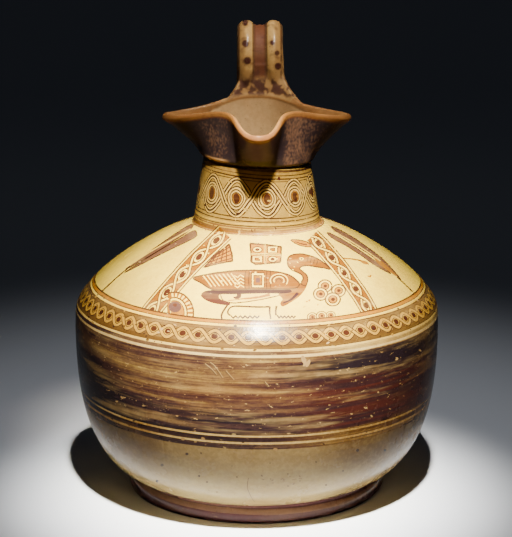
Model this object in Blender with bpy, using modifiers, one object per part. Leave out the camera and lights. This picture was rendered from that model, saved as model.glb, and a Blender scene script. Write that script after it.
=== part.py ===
"""A fired clay wine jug with a low ring foot, a wide round body, a short neck, a trefoil mouth and a high
double-roll handle. The jug is one hollow solid, open at the mouth.

The front of the jug faces -Y, the handle is at +Y, and the origin is at the middle of the foot's underside.
Angles around the jug start at the front and grow toward +X.
"""

import math

import bmesh
import bpy
from mathutils import Vector

# Body: radii are measured to the outside of the wall
FOOT_RADIUS = 0.0805
FOOT_TOP_RADIUS = 0.0773
FOOT_HEIGHT = 0.0105
FOOT_WIDEST_SHARE = 0.45
FOOT_EDGE = 0.0016
FOOT_RING_WIDTH = 0.011
FOOT_RECESS = 0.004
BELLY_RADIUS = 0.1127
BELLY_HEIGHT = 0.1055
NECK_BASE_RADIUS = 0.039
NECK_BASE_HEIGHT = 0.1682
NECK_TOP_RADIUS = 0.0326
NECK_LENGTH = 0.0397
WALL = 0.005
FLOOR = 0.0065

# Curve of the lower body: how far each end of the curve holds its direction
FOOT_SPREAD = 0.0378
FOOT_SPREAD_ANGLE = math.radians(20.3)
BELLY_HOLD = 0.0258

# Curve of the shoulder, as shares of its rise and of its run toward the neck
SHOULDER_LINE = ((0.19, 0.017), (0.34, 0.101), (0.49, 0.23), (0.64, 0.398), (0.79, 0.603), (0.91, 0.8))

# Ledge where the mouth sits on the neck, a little tilted, with a groove under it
LEDGE_OVERHANG = 0.0019
LEDGE_TILT = math.radians(3.3)
GROOVE_HEIGHT = 0.0016
GROOVE_DEPTH = 0.0014
GROOVE_ROUNDING = 0.2
LEDGE_TOP_SHARE = 0.7
COLLAR = 0.009

# Trefoil mouth
MOUTH_HEIGHT = 0.0303
PINCH_RADIUS = 0.0318
FRONT_LOBE_RADIUS = 0.0568
FRONT_LOBE_ANGLE = math.radians(20)
FRONT_LOBE_TURN = math.radians(1.2)
FRONT_LOBE_DROP = 0.0112
FRONT_DROP_ANGLE = math.radians(21)
FRONT_DROP_POWER = 2.4
SIDE_LOBE_RADIUS = 0.0577
SIDE_LOBE_ANGLE = math.radians(20)
SIDE_LOBE_DROP = 0.007
SIDE_DROP_ANGLE = math.radians(26)
BACK_RISE = 0.0028
BACK_RISE_ANGLE = math.radians(36)
BACK_RISE_POWER = 3.0
LIP = 0.0033
FLARE = 1.35
FLARE_START = 0.04

# Handle: two rolls side by side with a flat strap sunk between them
ROLL_RADIUS = 0.006
ROLL_GAP_TOP = 0.0165
ROLL_GAP_ROOT = 0.0205
ROLL_GAP_FOOT = 0.0195
ROOT_SHIFT = 0.0036
HANDLE_SHIFT = 0.002
ROOT_SHARE = 0.35
SPRING_LEAN = 0.0009
HANDLE_RISE = 0.0467
ARCH_WIDTH = 0.041
ARCH_HEIGHT = 0.026
HANDLE_OUT = 0.0775
HANDLE_SINK = 0.0022
HANDLE_BEND = 0.028
LEG_HOLD = 0.4
ROOT_DROP = 0.015
ROOT_TAPER = 0.25
STRAP_THICKNESS = 0.006
STRAP_WIDTH = 0.014
WEB_HEIGHT = 0.0185
WEB_ROOT_WIDTH = 0.048
WEB_TOP_MARGIN = 0.0042
WEB_SPREAD_POWER = 2.2
WEB_INSET = 0.2

# Fineness of the mesh
TURNS = 60
NECK_ROWS = 2
LOWER_ROWS = 8
FLARE_ROWS = 6
LIP_ROWS = 3
ROOT_STEPS = 6
ARCH_STEPS = 10
LEG_STEPS = 8
WEB_ROWS = 7
WEB_COLUMNS = 10
WELD_GAP = 0.00005
SHARP_ANGLE = math.radians(35)

CLAY = (0.72, 0.55, 0.30)
ROUGHNESS = 0.45


def clear_scene():
    for item in list(bpy.data.objects):
        bpy.data.objects.remove(item, do_unlink=True)


def new_collection(name, hidden=False):
    collection = bpy.data.collections.new(name)
    bpy.context.scene.collection.children.link(collection)
    collection.hide_render = hidden
    return collection


def clay_material():
    material = bpy.data.materials.new("fired clay")
    material.use_nodes = True
    shader = material.node_tree.nodes["Principled BSDF"]
    shader.inputs["Base Color"].default_value = (*CLAY, 1.0)
    shader.inputs["Roughness"].default_value = ROUGHNESS
    shader.inputs["Metallic"].default_value = 0.0
    return material


def bezier(start, start_pull, end_pull, end, count):
    """Points of a cubic curve from start to end, both included."""
    points = []
    for i in range(count + 1):
        t = i / count
        weights = ((1 - t) ** 3, 3 * (1 - t) ** 2 * t, 3 * (1 - t) * t * t, t ** 3)
        corners = (start, start_pull, end_pull, end)
        points.append(sum((w * Vector(c) for w, c in zip(weights, corners)), Vector((0.0,) * len(start))))
    return points


def through(points, per_span):
    """A smooth curve that passes through all the points given."""
    chain = [Vector(p) for p in points]
    chain = [2 * chain[0] - chain[1], *chain, 2 * chain[-1] - chain[-2]]
    curve = []
    for before, a, b, after in zip(chain, chain[1:], chain[2:], chain[3:]):
        pull_a, pull_b = a + (b - before) / 6, b - (after - a) / 6
        curve += bezier(a, pull_a, pull_b, b, per_span)[:-1]
    return [*curve, chain[-2]]


def shoulder_points():
    """Corners of the shoulder's curve as (radius, height), from the neck down to the belly."""
    rise = NECK_BASE_HEIGHT - BELLY_HEIGHT
    run = BELLY_RADIUS - NECK_BASE_RADIUS
    shares = ((0.0, 0.0), *SHOULDER_LINE, (1.0, 1.0))
    return [(BELLY_RADIUS - run * inward, BELLY_HEIGHT + rise * up) for up, inward in reversed(shares)]


def shoulder_foot(radius):
    """A point on the shoulder's outside and the direction out of the wall there, as (radius, height)."""
    line = through(shoulder_points(), 8)
    for upper, lower in zip(line, line[1:]):
        if upper[0] <= radius <= lower[0]:
            along = lower - upper
            return upper + along * (radius - upper[0]) / along[0], Vector((-along[1], along[0])).normalized()
    return Vector((radius, BELLY_HEIGHT)), Vector((1.0, 0.0))


def neck_top_height():
    """Height where the turned neck ends, just under the lowest point of the groove."""
    return NECK_BASE_HEIGHT + NECK_LENGTH - COLLAR


def neck_radius(height):
    share = (height - NECK_BASE_HEIGHT) / NECK_LENGTH
    return NECK_BASE_RADIUS + (NECK_TOP_RADIUS - NECK_BASE_RADIUS) * share


def outer_line(shoulder_steps=2):
    """Outside of the jug as (radius, height), from the turned neck down to the axis under the foot."""
    top = neck_top_height()
    heights = [top + (NECK_BASE_HEIGHT - top) * i / NECK_ROWS for i in range(NECK_ROWS)]
    neck = [(neck_radius(height), height) for height in heights]
    corners = shoulder_points()
    shoulder = through(corners, shoulder_steps)
    foot_side = (FOOT_TOP_RADIUS, FOOT_HEIGHT)
    spread = (
        FOOT_TOP_RADIUS + FOOT_SPREAD * math.cos(FOOT_SPREAD_ANGLE),
        FOOT_HEIGHT + FOOT_SPREAD * math.sin(FOOT_SPREAD_ANGLE),
    )
    belly = (BELLY_RADIUS, BELLY_HEIGHT)
    lower = bezier(belly, (BELLY_RADIUS, BELLY_HEIGHT - BELLY_HOLD), spread, foot_side, LOWER_ROWS)[1:]
    ring_inside = FOOT_RADIUS - FOOT_RING_WIDTH
    foot = [
        (FOOT_RADIUS, FOOT_HEIGHT * FOOT_WIDEST_SHARE),
        (FOOT_RADIUS, FOOT_EDGE),
        (FOOT_RADIUS - FOOT_EDGE, 0.0),
        (ring_inside, 0.0),
        (ring_inside - FOOT_RECESS, FOOT_RECESS),
        (0.0, FOOT_RECESS),
    ]
    return [tuple(point) for point in (*neck, *shoulder, *lower, *foot)]


def inner_line():
    """Inside of the jug as (radius, height), from the axis on the floor up to the top of the turned neck."""
    outside = [point for point in outer_line(1) if point[1] > FOOT_HEIGHT - FOOT_EDGE]
    floor_height = FOOT_RECESS + FLOOR
    inside = []
    for before, here, after in zip(outside, outside[1:], outside[2:]):
        along = Vector(after) - Vector(before)
        inward = Vector((along[1], -along[0])).normalized()
        place = Vector(here) + inward * WALL
        if place[1] > floor_height + WALL / 2 and place[0] > neck_radius(here[1]) - 2 * WALL:
            inside.append(tuple(place))
    top = neck_top_height()
    inside = [(neck_radius(top) - WALL, top), *inside]
    corner = (FOOT_TOP_RADIUS - WALL, floor_height)
    return [(0.0, floor_height), corner, *reversed(inside)]


def line_mesh(name, chains):
    mesh = bpy.data.meshes.new(name)
    vertices, edges = [], []
    for chain in chains:
        first = len(vertices)
        vertices += [(radius, 0.0, height) for radius, height in chain]
        edges += [(first + i, first + i + 1) for i in range(len(chain) - 1)]
    mesh.from_pydata(vertices, edges, [])
    return mesh


def turned_body(collection):
    """Foot, body and neck, open at the top of the neck."""
    body = bpy.data.objects.new("turned body", line_mesh("turned body", [inner_line(), outer_line()]))
    collection.objects.link(body)
    turn = body.modifiers.new("Turn", "SCREW")
    turn.steps = TURNS
    turn.render_steps = TURNS
    turn.use_merge_vertices = True
    turn.merge_threshold = WELD_GAP
    return body


def bump(angle, centre, width, power=2.0):
    """1 at the centre angle, falling to 0 on both sides."""
    away = abs((angle - centre + math.pi) % math.tau - math.pi)
    return math.exp(-((away / width) ** power))


def ledge_height(x):
    return NECK_BASE_HEIGHT + NECK_LENGTH - x * math.tan(LEDGE_TILT)


def rim_place(angle):
    """Outer edge of the rim as (radius, height)."""
    right, left = math.pi / 2, -math.pi / 2
    side = bump(angle, right, SIDE_LOBE_ANGLE) + bump(angle, left, SIDE_LOBE_ANGLE)
    radius = PINCH_RADIUS
    radius += (FRONT_LOBE_RADIUS - PINCH_RADIUS) * bump(angle, FRONT_LOBE_TURN, FRONT_LOBE_ANGLE)
    radius += (SIDE_LOBE_RADIUS - PINCH_RADIUS) * side
    height = NECK_BASE_HEIGHT + NECK_LENGTH + MOUTH_HEIGHT
    height -= FRONT_LOBE_DROP * bump(angle, FRONT_LOBE_TURN, FRONT_DROP_ANGLE, FRONT_DROP_POWER)
    height -= SIDE_LOBE_DROP * (bump(angle, right, SIDE_DROP_ANGLE) + bump(angle, left, SIDE_DROP_ANGLE))
    height += BACK_RISE * bump(angle, math.pi, BACK_RISE_ANGLE, BACK_RISE_POWER)
    return radius, height


def mouth_place(angle, share, inset=0.0):
    """A point of the flaring mouth, ledge at share 0 and rim at share 1, moved inward by inset."""
    rim_radius, rim_height = rim_place(angle)
    start = NECK_TOP_RADIUS + LEDGE_OVERHANG
    radius = start + (rim_radius - start) * share ** FLARE
    base = ledge_height(radius * math.sin(angle))
    height = base + (rim_height - base) * share
    place = Vector((radius * math.sin(angle), -radius * math.cos(angle), height))
    if inset:
        step = 0.01
        around = mouth_place(angle + step, share) - mouth_place(angle - step, share)
        upward = mouth_place(angle, min(share + step, 1.0)) - mouth_place(angle, max(share - step, 0.0))
        place -= around.cross(upward).normalized() * inset
    return place


def round_place(radius, angle, height):
    return Vector((radius * math.sin(angle), -radius * math.cos(angle), height))


def mouth_rows():
    """Rings of points over the groove, the ledge, the outside, the lip and the inside, down into the neck."""
    angles = [math.tau * i / TURNS for i in range(TURNS)]
    top = neck_top_height()
    rows = [[round_place(neck_radius(top), a, top) for a in angles]]
    for radius, drop in (
        (NECK_TOP_RADIUS, GROOVE_HEIGHT),
        (NECK_TOP_RADIUS - GROOVE_DEPTH, GROOVE_HEIGHT * (1 - GROOVE_ROUNDING)),
        (NECK_TOP_RADIUS - GROOVE_DEPTH, GROOVE_HEIGHT * GROOVE_ROUNDING),
        (NECK_TOP_RADIUS + LEDGE_OVERHANG * LEDGE_TOP_SHARE, 0.0),
    ):
        rows.append([round_place(radius, a, ledge_height(radius * math.sin(a)) - drop) for a in angles])
    shares = [FLARE_START + (1 - FLARE_START) * i / FLARE_ROWS for i in range(FLARE_ROWS + 1)]
    for share in shares[:-1]:
        rows.append([mouth_place(a, share) for a in angles])
    for i in range(LIP_ROWS + 2):
        turn = math.pi * i / (LIP_ROWS + 1)
        inset = LIP / 2 * (1 - math.cos(turn))
        lift = Vector((0.0, 0.0, LIP / 2 * math.sin(turn)))
        rows.append([mouth_place(a, 1.0, inset) + lift for a in angles])
    for share in reversed(shares[1:-1]):
        rows.append([mouth_place(a, share, LIP + (WALL - LIP) * (1 - share)) for a in angles])
    low = NECK_TOP_RADIUS - WALL
    rows.append([round_place(low, a, ledge_height(low * math.sin(a)) - GROOVE_HEIGHT) for a in angles])
    rows.append([round_place(neck_radius(top) - WALL, a, top) for a in angles])
    return rows


def loft(name, rows, collection):
    """Faces between rings of points, each ring with the same count."""
    mesh = bmesh.new()
    rings = [[mesh.verts.new(place) for place in row] for row in rows]
    for low, high in zip(rings, rings[1:]):
        for i in range(len(low)):
            j = (i + 1) % len(low)
            mesh.faces.new((low[i], low[j], high[j], high[i]))
    data = bpy.data.meshes.new(name)
    mesh.to_mesh(data)
    mesh.free()
    item = bpy.data.objects.new(name, data)
    collection.objects.link(item)
    return item


def as_mesh(item, collection, name):
    """The evaluated object as a plain mesh object, with loose points welded, and the first object removed."""
    bpy.context.view_layer.update()
    evaluated = item.evaluated_get(bpy.context.evaluated_depsgraph_get())
    data = bpy.data.meshes.new_from_object(evaluated)
    place = item.matrix_world.copy()
    bpy.data.objects.remove(item, do_unlink=True)
    mesh = bmesh.new()
    mesh.from_mesh(data)
    bmesh.ops.remove_doubles(mesh, verts=mesh.verts, dist=WELD_GAP)
    bmesh.ops.recalc_face_normals(mesh, faces=mesh.faces)
    mesh.to_mesh(data)
    mesh.free()
    plain = bpy.data.objects.new(name, data)
    plain.matrix_world = place
    collection.objects.link(plain)
    return plain


def welded(first, second, name, collection):
    """Two open meshes whose border rings match, as one closed mesh."""
    mesh = bmesh.new()
    for item in (first, second):
        mesh.from_mesh(item.data)
    bmesh.ops.remove_doubles(mesh, verts=mesh.verts, dist=WELD_GAP)
    bmesh.ops.recalc_face_normals(mesh, faces=mesh.faces)
    data = bpy.data.meshes.new(name)
    mesh.to_mesh(data)
    mesh.free()
    for item in (first, second):
        bpy.data.objects.remove(item, do_unlink=True)
    item = bpy.data.objects.new(name, data)
    collection.objects.link(item)
    return item


def handle_path():
    """Middle line of the handle as (y, z), from inside the mouth's back wall over the top to the shoulder."""
    rim_radius, rim_height = rim_place(math.pi)
    front = rim_radius - LIP + ROLL_RADIUS
    arch_base = NECK_BASE_HEIGHT + NECK_LENGTH + MOUTH_HEIGHT + HANDLE_RISE - ROLL_RADIUS - ARCH_HEIGHT
    spring = (front + SPRING_LEAN, arch_base)
    start = (rim_radius - LIP / 2, rim_height - ROOT_DROP)
    pull = (front, rim_height)
    root = bezier(start, pull, pull, spring, ROOT_STEPS)[:-1]
    rear = front + ARCH_WIDTH
    top_pull = arch_base + ARCH_HEIGHT * 4 / 3
    arch = bezier(spring, (spring[0], top_pull), (rear, top_pull), (rear, arch_base), ARCH_STEPS)
    seat, outward = shoulder_foot(HANDLE_OUT)
    foot = seat - outward * HANDLE_SINK
    leg_pull = (rear, arch_base - (arch_base - foot[1]) * LEG_HOLD)
    leg = bezier((rear, arch_base), leg_pull, seat + outward * HANDLE_BEND, foot, LEG_STEPS)
    return [tuple(point) for point in (*root, *arch, *leg[1:])]


def along_handle(index, count, root, top, foot):
    """A size that changes evenly from the root to the arch and from there to the foot of the handle."""
    share = index / (count - 1)
    if share < ROOT_SHARE:
        return root + (top - root) * share / ROOT_SHARE
    return top + (foot - top) * (share - ROOT_SHARE) / (1 - ROOT_SHARE)


def roll_side(side, index, count):
    """Place of a roll's middle line across the jug."""
    gap = along_handle(index, count, ROLL_GAP_ROOT, ROLL_GAP_TOP, ROLL_GAP_FOOT)
    return along_handle(index, count, ROOT_SHIFT, HANDLE_SHIFT, HANDLE_SHIFT) + side * gap / 2


def wall_curve(x, index):
    """How far a roll at x moves to the front, so that it starts inside the mouth's round back wall."""
    rim_radius, _ = rim_place(math.pi)
    return (rim_radius - math.sqrt(rim_radius ** 2 - x ** 2)) * max(1 - index / ROOT_STEPS, 0.0)


def roll(side, path, collection):
    curve = bpy.data.curves.new("roll", "CURVE")
    curve.dimensions = "3D"
    curve.bevel_depth = ROLL_RADIUS
    curve.bevel_resolution = 3
    curve.use_fill_caps = True
    spline = curve.splines.new("POLY")
    spline.points.add(len(path) - 1)
    for i, (y, z) in enumerate(path):
        x = roll_side(side, i, len(path))
        spline.points[i].co = (x, y - wall_curve(x, i), z, 1.0)
        spline.points[i].radius = min(ROOT_TAPER + (1.0 - ROOT_TAPER) * i / ROOT_STEPS, 1.0)
    item = bpy.data.objects.new("roll", curve)
    collection.objects.link(item)
    return as_mesh(item, collection, "roll")


def band_outline(path, thickness):
    """Closed outline of a band of even thickness that follows the path."""
    left, right = [], []
    for i, here in enumerate(path):
        before, after = Vector(path[max(i - 1, 0)]), Vector(path[min(i + 1, len(path) - 1)])
        along = (after - before).normalized()
        across = Vector((-along[1], along[0])) * thickness / 2
        left.append(Vector(here) + across)
        right.append(Vector(here) - across)
    return left + right[::-1]


def plate(name, outline, width, collection):
    """A flat outline drawn out to both sides, lying in the plane z = 0."""
    curve = bpy.data.curves.new(name, "CURVE")
    curve.dimensions = "2D"
    curve.fill_mode = "BOTH"
    curve.extrude = width / 2
    spline = curve.splines.new("POLY")
    spline.points.add(len(outline) - 1)
    spline.use_cyclic_u = True
    for i, (across, up) in enumerate(outline):
        spline.points[i].co = (across, up, 0.0, 1.0)
    item = bpy.data.objects.new(name, curve)
    collection.objects.link(item)
    return item


def strap(path, collection):
    """The flat strap between the rolls, bent along the same path."""
    item = plate("strap", band_outline(path[ROOT_STEPS // 3:], STRAP_THICKNESS), STRAP_WIDTH, collection)
    item.rotation_euler = (math.pi / 2, 0.0, math.pi / 2)
    item.location = (HANDLE_SHIFT, 0.0, 0.0)
    return as_mesh(item, collection, "strap")


def web_row(share, path):
    """One level of the web: an arc in the mouth's wall at share 0, the strap's section at share 1."""
    rim_radius, rim_height = rim_place(math.pi)
    eased = share * share * (3 - 2 * share)
    top_half = ROLL_GAP_ROOT / 2 + WEB_TOP_MARGIN
    half = top_half + (WEB_ROOT_WIDTH / 2 - top_half) * (1 - share) ** WEB_SPREAD_POWER
    height = rim_height - LIP + (WEB_HEIGHT + LIP) * share
    row = []
    inner = (LIP * (1 - WEB_INSET), -1, 1, eased)
    outer = (LIP * WEB_INSET, 1, -1, math.sqrt(share))
    for inset, offset, turn, ease in (inner, outer):
        flat = path[ROOT_STEPS][0] + offset * STRAP_THICKNESS / 2
        for i in range(WEB_COLUMNS + 1):
            x = turn * half * (2 * i / WEB_COLUMNS - 1) + ROOT_SHIFT
            curved = mouth_place(math.pi - math.asin(x / rim_radius), 1.0, inset)
            curved.z = height
            row.append(curved.lerp(Vector((x, flat, height)), ease))
    return row


def web(path, collection):
    """The web that spreads the handle's root onto the back of the rim."""
    item = loft("web", [web_row(i / WEB_ROWS, path) for i in range(WEB_ROWS + 1)], collection)
    mesh = bmesh.new()
    mesh.from_mesh(item.data)
    bmesh.ops.holes_fill(mesh, edges=[edge for edge in mesh.edges if edge.is_boundary], sides=0)
    bmesh.ops.recalc_face_normals(mesh, faces=mesh.faces)
    mesh.to_mesh(item.data)
    mesh.free()
    return item


def join(target, tool):
    """Boolean union of two objects, kept as a modifier on the target."""
    step = target.modifiers.new("Join", "BOOLEAN")
    step.operation = "UNION"
    step.solver = "EXACT"
    step.object = tool


def main():
    clear_scene()
    jug_collection = new_collection("oinochoe")
    tool_collection = new_collection("joined shapes", hidden=True)
    body = as_mesh(turned_body(tool_collection), tool_collection, "turned body")
    mouth = loft("mouth", mouth_rows(), tool_collection)
    jug = welded(body, mouth, "oinochoe", jug_collection)
    path = handle_path()
    shapes = [roll(side, path, tool_collection) for side in (-1, 1)]
    shapes += [strap(path, tool_collection), web(path, tool_collection)]
    for shape in shapes:
        shape.hide_render = True
        shape.display_type = "WIRE"
        join(jug, shape)
    jug.data.materials.append(clay_material())
    jug.data.shade_smooth()
    jug.data.set_sharp_from_angle(angle=SHARP_ANGLE)


main()
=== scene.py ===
"""The looks of the painted wine jug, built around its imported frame.

The jug's outside is unrolled into a flat sheet. There u is the angle around the jug in hundredths of a
radian, 0 at the front and growing toward +X, and v is the distance in millimetres down the wall, 0 at the
foot of the neck. The paint is drawn on that sheet as overlapping outlines, which are cut into one mesh and
wrapped around the turned profile. The mouth and the handle are a second mesh, grown together from the same
shapes as the solid.
"""

import math
import random

import bmesh
import bpy
import numpy as np
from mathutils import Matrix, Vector, noise
from mathutils.geometry import delaunay_2d_cdt


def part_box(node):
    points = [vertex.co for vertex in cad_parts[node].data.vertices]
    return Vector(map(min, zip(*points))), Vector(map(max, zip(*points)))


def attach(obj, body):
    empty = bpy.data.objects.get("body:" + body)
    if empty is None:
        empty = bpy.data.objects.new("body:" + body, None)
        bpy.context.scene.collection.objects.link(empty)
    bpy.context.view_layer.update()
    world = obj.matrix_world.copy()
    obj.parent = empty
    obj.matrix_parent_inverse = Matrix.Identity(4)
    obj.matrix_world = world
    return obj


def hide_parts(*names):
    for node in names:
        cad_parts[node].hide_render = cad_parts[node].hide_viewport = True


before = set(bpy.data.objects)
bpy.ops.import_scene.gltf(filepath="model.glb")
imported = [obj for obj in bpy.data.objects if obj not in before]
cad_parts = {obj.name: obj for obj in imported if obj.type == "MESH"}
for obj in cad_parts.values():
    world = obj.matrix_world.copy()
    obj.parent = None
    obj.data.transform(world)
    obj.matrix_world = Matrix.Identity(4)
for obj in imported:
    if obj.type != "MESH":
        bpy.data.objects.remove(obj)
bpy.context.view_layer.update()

# Sizes of the jug, in metres, as in the solid
NODE = "oinochoe"
LOW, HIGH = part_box(NODE)
MM = 0.001
FOOT_RADIUS = 0.0805
FOOT_TOP_RADIUS = 0.0773
FOOT_HEIGHT = 0.0105
FOOT_WIDEST_SHARE = 0.45
FOOT_EDGE = 0.0016
FOOT_RING_WIDTH = 0.011
FOOT_RECESS = 0.004
BELLY_RADIUS = (HIGH.x - LOW.x) / 2
BELLY_HEIGHT = 0.1055
NECK_BASE_RADIUS = 0.039
NECK_BASE_HEIGHT = 0.1682
NECK_TOP_RADIUS = 0.0326
NECK_LENGTH = 0.0397
WALL = 0.005
FLOOR = 0.0065
FOOT_SPREAD = 0.0378
FOOT_SPREAD_ANGLE = math.radians(20.3)
BELLY_HOLD = 0.0258
SHOULDER_LINE = ((0.19, 0.017), (0.34, 0.101), (0.49, 0.23), (0.64, 0.398), (0.79, 0.603), (0.91, 0.8))
LEDGE_OVERHANG = 0.0019
LEDGE_TILT = math.radians(3.3)
GROOVE_HEIGHT = 0.0016
GROOVE_DEPTH = 0.0014
MOUTH_HEIGHT = 0.0303
PINCH_RADIUS = 0.0318
FRONT_LOBE_RADIUS = 0.0568
FRONT_LOBE_ANGLE = math.radians(20)
FRONT_LOBE_TURN = math.radians(1.2)
FRONT_LOBE_DROP = 0.0112
FRONT_DROP_ANGLE = math.radians(21)
FRONT_DROP_POWER = 2.4
SIDE_LOBE_RADIUS = 0.0577
SIDE_LOBE_ANGLE = math.radians(20)
SIDE_LOBE_DROP = 0.007
SIDE_DROP_ANGLE = math.radians(26)
BACK_RISE = 0.0028
BACK_RISE_ANGLE = math.radians(36)
BACK_RISE_POWER = 3.0
LIP = 0.0033
FLARE = 1.35
FLARE_START = 0.04
ROLL_RADIUS = 0.006
ROLL_GAP_TOP = 0.0165
ROLL_GAP_ROOT = 0.0205
ROLL_GAP_FOOT = 0.0195
ROOT_SHIFT = 0.0036
HANDLE_SHIFT = 0.002
ROOT_SHARE = 0.35
SPRING_LEAN = 0.0009
HANDLE_TOP = HIGH.z
ARCH_WIDTH = 0.041
ARCH_HEIGHT = 0.026
HANDLE_OUT = 0.0775
HANDLE_SINK = 0.0022
HANDLE_BEND = 0.028
LEG_HOLD = 0.4
ROOT_DROP = 0.015
ROOT_TAPER = 0.25
STRAP_THICKNESS = 0.006
STRAP_WIDTH = 0.014
WEB_HEIGHT = 0.0185
WEB_ROOT_WIDTH = 0.048
WEB_TOP_MARGIN = 0.0042
WEB_SPREAD_POWER = 2.2
WEB_INSET = 0.2

# Fineness
COLUMNS = 160
GRID = 3.6
VOXEL = 0.0007
WOBBLE = 0.16

# The photograph's frame and the camera fitted to it
PHOTO_WIDTH = 512
PHOTO_HEIGHT = 537
PIXEL = 0.00062
FOCAL_PIXELS = 1900
CAMERA_DISTANCE = FOCAL_PIXELS * PIXEL
NECK_FOOT_ROW = 234
CAMERA_TILT = math.radians(13.86)
TARGET_HEIGHT = 0.13733
AXIS_COLUMN = 256.73
BAND_TILT = 1.0


def tone(red, green, blue):
    """A colour given as seen, 0 to 255, in the linear values that shaders use."""
    seen = [c / 255 for c in (red, green, blue)]
    return tuple(c / 12.92 if c <= 10 / 255 else ((c + 0.055) / 1.055) ** 2.4 for c in seen)


# Paints: red, green and blue as seen, share of the wheel-streaked dark glaze, how easily it wears off
PAINTS = {
    "cream": (204, 176, 62, 0, 0), "neck": (164, 136, 64, 0, 0.4), "neck_strand": (198, 168, 90, 0, 0.3),
    "ring_strand": (208, 182, 120, 0, 0.3), "lower": (142, 123, 80, 0, 0), "foot": (88, 52, 56, 0, 0.15),
    "foot_painted_light": (130, 98, 78, 0, 0.15), "glaze": (70, 48, 38, 1, 0.6), "ring": (80, 56, 40, 1, 0.3),
    "ochre": (132, 88, 24, 0, 0.1), "orange": (114, 68, 8, 0, 0.3), "tan": (142, 92, 12, 0, 0.3),
    "brown": (104, 62, 10, 0, 0.4), "frieze": (86, 60, 18, 0.25, 0.35), "rope": (162, 126, 44, 0, 0.3),
    "strand": (200, 168, 64, 0, 0.05), "line": (62, 38, 22, 0, 0.35), "dark": (48, 31, 26, 0, 0.25),
    "pupil": (60, 32, 20, 0, 0.1), "red": (68, 36, 26, 0, 0.15), "purple": (76, 52, 46, 0, 0.12),
    "plum": (48, 28, 32, 0, 0.08), "drop": (60, 35, 31, 0, 0.1), "ray": (92, 64, 46, 0, 0.3),
    "band": (130, 94, 50, 0, 1), "chip": (162, 134, 88, 0, 0), "scratch": (92, 72, 50, 0, 0.3),
}


def bezier(start, start_pull, end_pull, end, count):
    """Points of a cubic curve from start to end, both included."""
    points = []
    for i in range(count + 1):
        t = i / count
        weights = ((1 - t) ** 3, 3 * (1 - t) ** 2 * t, 3 * (1 - t) * t * t, t ** 3)
        corners = (start, start_pull, end_pull, end)
        points.append(sum((w * Vector(c) for w, c in zip(weights, corners)), Vector((0.0,) * len(start))))
    return points


def through(points, per_span, closed=False):
    """A smooth curve that passes through all the points given."""
    chain = [Vector(p) for p in points]
    if closed:
        chain = [chain[-1], *chain, chain[0], chain[1]]
    else:
        chain = [2 * chain[0] - chain[1], *chain, 2 * chain[-1] - chain[-2]]
    curve = []
    for before, a, b, after in zip(chain, chain[1:], chain[2:], chain[3:]):
        curve += bezier(a, a + (b - before) / 6, b - (after - a) / 6, b, per_span)[:-1]
    return curve if closed else [*curve, chain[-2]]


def smooth_step(value, low, high):
    t = min(max((value - low) / (high - low), 0.0), 1.0)
    return t * t * (3 - 2 * t)


def bump(angle, centre, width, power=2.0):
    """1 at the centre angle, falling to 0 on both sides."""
    away = abs((angle - centre + math.pi) % math.tau - math.pi)
    return math.exp(-((away / width) ** power))


def ledge_height(x):
    return NECK_BASE_HEIGHT + NECK_LENGTH - x * math.tan(LEDGE_TILT)


def neck_radius(height):
    share = (height - NECK_BASE_HEIGHT) / NECK_LENGTH
    return NECK_BASE_RADIUS + (NECK_TOP_RADIUS - NECK_BASE_RADIUS) * share


def shoulder_points():
    rise = NECK_BASE_HEIGHT - BELLY_HEIGHT
    run = BELLY_RADIUS - NECK_BASE_RADIUS
    shares = ((0.0, 0.0), *SHOULDER_LINE, (1.0, 1.0))
    return [(BELLY_RADIUS - run * inward, BELLY_HEIGHT + rise * up) for up, inward in reversed(shares)]


def shoulder_foot(radius):
    """A point on the shoulder's outside and the direction out of the wall there, as (radius, height)."""
    line = through(shoulder_points(), 8)
    for upper, lower in zip(line, line[1:]):
        if upper[0] <= radius <= lower[0]:
            along = lower - upper
            return upper + along * (radius - upper[0]) / along[0], Vector((-along[1], along[0])).normalized()
    return Vector((radius, BELLY_HEIGHT)), Vector((1.0, 0.0))


def wall_line():
    """The outside below the neck as (radius, height), down to the foot's lower edge."""
    shoulder = through(shoulder_points(), 16)
    foot_side = (FOOT_TOP_RADIUS, FOOT_HEIGHT)
    spread = (
        FOOT_TOP_RADIUS + FOOT_SPREAD * math.cos(FOOT_SPREAD_ANGLE),
        FOOT_HEIGHT + FOOT_SPREAD * math.sin(FOOT_SPREAD_ANGLE),
    )
    belly = (BELLY_RADIUS, BELLY_HEIGHT)
    lower = bezier(belly, (BELLY_RADIUS, BELLY_HEIGHT - BELLY_HOLD), spread, foot_side, 60)[1:]
    widest = (FOOT_RADIUS, FOOT_HEIGHT * FOOT_WIDEST_SHARE)
    top_pull, low_pull = (FOOT_RADIUS - FOOT_EDGE, FOOT_HEIGHT * 0.9), (FOOT_RADIUS, FOOT_HEIGHT * 0.7)
    foot = bezier(foot_side, top_pull, low_pull, widest, 6)[1:]
    corner = (FOOT_RADIUS, 0.0)
    edge = bezier((FOOT_RADIUS, FOOT_EDGE), corner, corner, (FOOT_RADIUS - FOOT_EDGE, 0.0), 4)
    return [tuple(p) for p in (*shoulder, *lower, *foot, *edge)]


WALL_LINE = np.array(wall_line())
WALL_LENGTH = np.concatenate(([0.0], np.cumsum(np.hypot(*np.diff(WALL_LINE, axis=0).T)))) / MM
V_END = float(WALL_LENGTH[-1])
NECK_SLOPE = math.hypot(NECK_LENGTH, NECK_BASE_RADIUS - NECK_TOP_RADIUS) / NECK_LENGTH
V_TOP = -(NECK_LENGTH - GROOVE_HEIGHT) * NECK_SLOPE / MM
U_END = 100 * math.pi
V_FOOT = float(WALL_LENGTH[np.argmax(WALL_LINE[:, 1] <= FOOT_HEIGHT + 1e-7)])


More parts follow.
